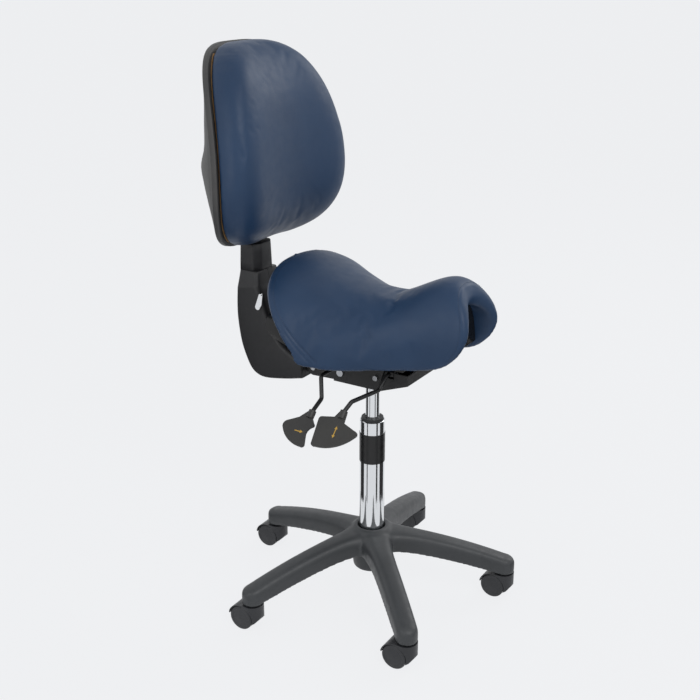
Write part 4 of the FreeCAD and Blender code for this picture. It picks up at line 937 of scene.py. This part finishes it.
def arm_ring(x, inset=0.0, floor=0.0, power=3.0):
    """Section of an arm: straight lower sides under a broad rounded back."""
    half = arm_half(x) - inset
    top = arm_top(x) - inset
    bottom = arm_bottom(x) - floor
    spring = top - min(half * 0.95, (top - bottom) * 0.8)
    ring = [Vector((x, -half, bottom)), Vector((x, -half, (bottom + spring) / 2))]
    for k in range(17):
        angle = math.pi * k / 16
        across = -math.copysign(abs(math.cos(angle)) ** (2 / power), math.cos(angle)) * half
        ring.append(Vector((x, across, spring + (top - spring) * math.sin(angle) ** (2 / power))))
    ring += [Vector((x, half, (bottom + spring) / 2)), Vector((x, half, bottom)), Vector((x, 0, bottom))]
    return ring


def turned(points, degrees):
    turn = Matrix.Rotation(math.radians(degrees), 3, "Z")
    return [turn @ point for point in points]


def star_base():
    profile = [
        (26, 58), (34, 58), (37, 62), (39, 78), (41, 100),
        (43, 118), (43, 138), (40, 147), (34, 152), (28, 153),
    ]
    verts = []
    faces = []
    count = 48
    for radius, height in profile:
        for k in range(count):
            angle = math.tau * k / count
            verts.append(Vector((radius * math.cos(angle), radius * math.sin(angle), height)))
    faces += grid_faces(len(profile), count, wrap_columns=True, wrap_rows=True)
    stations = [27] + list(range(32, 256, 8)) + [260, 266, 272, 277, 281, 285, 288.5, 291, 292.4, 292.9]
    cutters = []
    for number in range(ARM_COUNT):
        degrees = ARM_TURN + 360 / ARM_COUNT * number
        add_rings(verts, faces, [turned(arm_ring(x), degrees) for x in stations])
        edges = [HUB_RADIUS + 8, 96, 150, 205, ARM_REACH - ARM_END - 5]
        for low, high in zip(edges, edges[1:]):
            steps = [low + 1.5 + (high - low - 3) * k / 4 for k in range(5)]
            cutters.append([turned(arm_ring(x, ARM_WALL, 20), degrees) for x in steps])
    obj = new_object("base_star", verts, faces)
    remesh(obj, BASE_VOXEL)
    relax(obj, 0.5, 7)
    verts = []
    faces = []
    for rings in cutters:
        add_rings(verts, faces, rings)
    tool = new_object("base_rooms", verts, faces)
    modifier = obj.modifiers.new("rooms", "BOOLEAN")
    modifier.operation = "DIFFERENCE"
    modifier.solver = "EXACT"
    modifier.object = tool
    apply_all(obj)
    bpy.data.objects.remove(tool)
    return obj


attach(star_base(), "base", "charcoal_nylon", BASE_NYLON, "star_base")


# Stage, light and camera

FLOOR_REACH = 120
BACKGROUND_SHARE = 0.93
WORLD_STRENGTH = 0.5
# Direction and width, in degrees, of each dark wedge on the floor.
FLAGS = ((-160, 46), (-104, 9), (-16, 14), (38, 50))


def background_rays(tree, path):
    """1 for rays that see the background directly, in a reflection or through glass."""
    last = path.outputs["Is Camera Ray"]
    for name in ("Is Glossy Ray", "Is Transmission Ray"):
        largest = tree.nodes.new("ShaderNodeMath")
        largest.operation = "MAXIMUM"
        tree.links.new(last, largest.inputs[0])
        tree.links.new(path.outputs[name], largest.inputs[1])
        last = largest.outputs[0]
    return last


def stage():
    floor_color = linear(241, 242, 244)
    mesh = bpy.data.meshes.new("floor")
    reach = FLOOR_REACH
    corners = [(-reach, -reach), (reach, -reach), (reach, reach), (-reach, reach)]
    mesh.from_pydata([(x, y, -0.0005) for x, y in corners], [], [(0, 1, 2, 3)])
    floor = bpy.data.objects.new("floor", mesh)
    bpy.context.scene.collection.objects.link(floor)
    material = bpy.data.materials.new("floor")
    material.use_nodes = True
    tree = material.node_tree
    main = tree.nodes["Principled BSDF"]
    main.inputs["Base Color"].default_value = floor_color
    main.inputs["Roughness"].default_value = 0.9
    main.inputs["Specular IOR Level"].default_value = 0.1
    path = tree.nodes.new("ShaderNodeLightPath")
    glow = tree.nodes.new("ShaderNodeEmission")
    glow.inputs["Color"].default_value = floor_color
    glow.inputs["Strength"].default_value = 1.0
    share = tree.nodes.new("ShaderNodeMath")
    share.operation = "MULTIPLY"
    share.inputs[1].default_value = BACKGROUND_SHARE
    mix = tree.nodes.new("ShaderNodeMixShader")
    tree.links.new(background_rays(tree, path), share.inputs[0])
    tree.links.new(share.outputs[0], mix.inputs["Fac"])
    tree.links.new(main.outputs[0], mix.inputs[1])
    tree.links.new(glow.outputs[0], mix.inputs[2])
    tree.links.new(mix.outputs[0], tree.nodes["Material Output"].inputs["Surface"])
    paint(floor, material)
    world = bpy.data.worlds.new("studio")
    bpy.context.scene.world = world
    world.use_nodes = True
    nodes = world.node_tree.nodes
    links = world.node_tree.links
    nodes.clear()
    path = nodes.new("ShaderNodeLightPath")
    seen = nodes.new("ShaderNodeBackground")
    seen.inputs["Color"].default_value = floor_color
    seen.inputs["Strength"].default_value = 1.0
    light = nodes.new("ShaderNodeBackground")
    light.inputs["Color"].default_value = (0.93, 0.96, 1.0, 1)
    light.inputs["Strength"].default_value = WORLD_STRENGTH
    mix = nodes.new("ShaderNodeMixShader")
    out = nodes.new("ShaderNodeOutputWorld")
    links.new(background_rays(world.node_tree, path), mix.inputs["Fac"])
    links.new(light.outputs[0], mix.inputs[1])
    links.new(seen.outputs[0], mix.inputs[2])
    links.new(mix.outputs[0], out.inputs["Surface"])


def lamp(name, place, aim, width, height, power):
    data = bpy.data.lights.new(name, "AREA")
    data.shape = "RECTANGLE"
    data.size = width
    data.size_y = height
    data.energy = power
    obj = bpy.data.objects.new(name, data)
    bpy.context.scene.collection.objects.link(obj)
    obj.location = place
    obj.rotation_euler = (Vector(aim) - Vector(place)).to_track_quat("-Z", "Y").to_euler()


def flag(name, azimuth, spread_angle, near=0.42, far=3.5):
    """Dark wedge on the floor that only reflections see: it draws the dark streaks on bright metal."""
    corners = []
    for reach, offsets in ((near, (-0.5, 0, 0.5)), (far, (0.5, 0, -0.5))):
        for offset in offsets:
            angle = math.radians(azimuth + spread_angle * offset)
            corners.append((math.sin(angle) * reach, -math.cos(angle) * reach, 0.0006))
    mesh = bpy.data.meshes.new(name)
    mesh.from_pydata(corners, [], [tuple(range(len(corners)))])
    card = bpy.data.objects.new(name, mesh)
    bpy.context.scene.collection.objects.link(card)
    paint(card, FLAG_BLACK)
    card.visible_camera = False
    card.visible_diffuse = False
    card.visible_shadow = False
    card.visible_transmission = False


stage()
for number, (azimuth, spread_angle) in enumerate(FLAGS):
    flag("flag_%d" % number, azimuth, spread_angle)
lamp("key", (-1.6, -2.6, 3.0), (0, 0, 0.7), 1.8, 1.8, 42)
lamp("fill", (-3.2, 0.6, 1.6), (0, 0, 0.6), 1.6, 2.2, 17)
lamp("rim", (2.6, -1.0, 2.4), (0, 0, 0.7), 1.4, 1.8, 22)

CAMERA_AZIMUTH = math.radians(-58.0)
CAMERA_HEIGHT = math.radians(20.31)
CAMERA_DISTANCE = 2.109
CAMERA_SIDE = -0.04416
CAMERA_AIM = 0.5285
SENSOR_WIDTH = 36
FOCAL_PIXELS = 1097
IMAGE_PIXELS = 700
back_way = Vector((math.sin(CAMERA_AZIMUTH) * math.cos(CAMERA_HEIGHT),
                   -math.cos(CAMERA_AZIMUTH) * math.cos(CAMERA_HEIGHT), math.sin(CAMERA_HEIGHT)))
right_way = Vector((math.cos(CAMERA_AZIMUTH), math.sin(CAMERA_AZIMUTH), 0))
up_way = back_way.cross(right_way)
data = bpy.data.cameras.new("camera")
data.sensor_width = SENSOR_WIDTH
data.lens = SENSOR_WIDTH * FOCAL_PIXELS / IMAGE_PIXELS
camera = bpy.data.objects.new("camera", data)
bpy.context.scene.collection.objects.link(camera)
turn = Matrix((right_way, up_way, back_way)).transposed().to_4x4()
turn.translation = right_way * CAMERA_SIDE + Vector((0, 0, CAMERA_AIM)) + back_way * CAMERA_DISTANCE
camera.matrix_world = turn
bpy.context.scene.camera = camera
bpy.context.scene.view_settings.view_transform = "Standard"
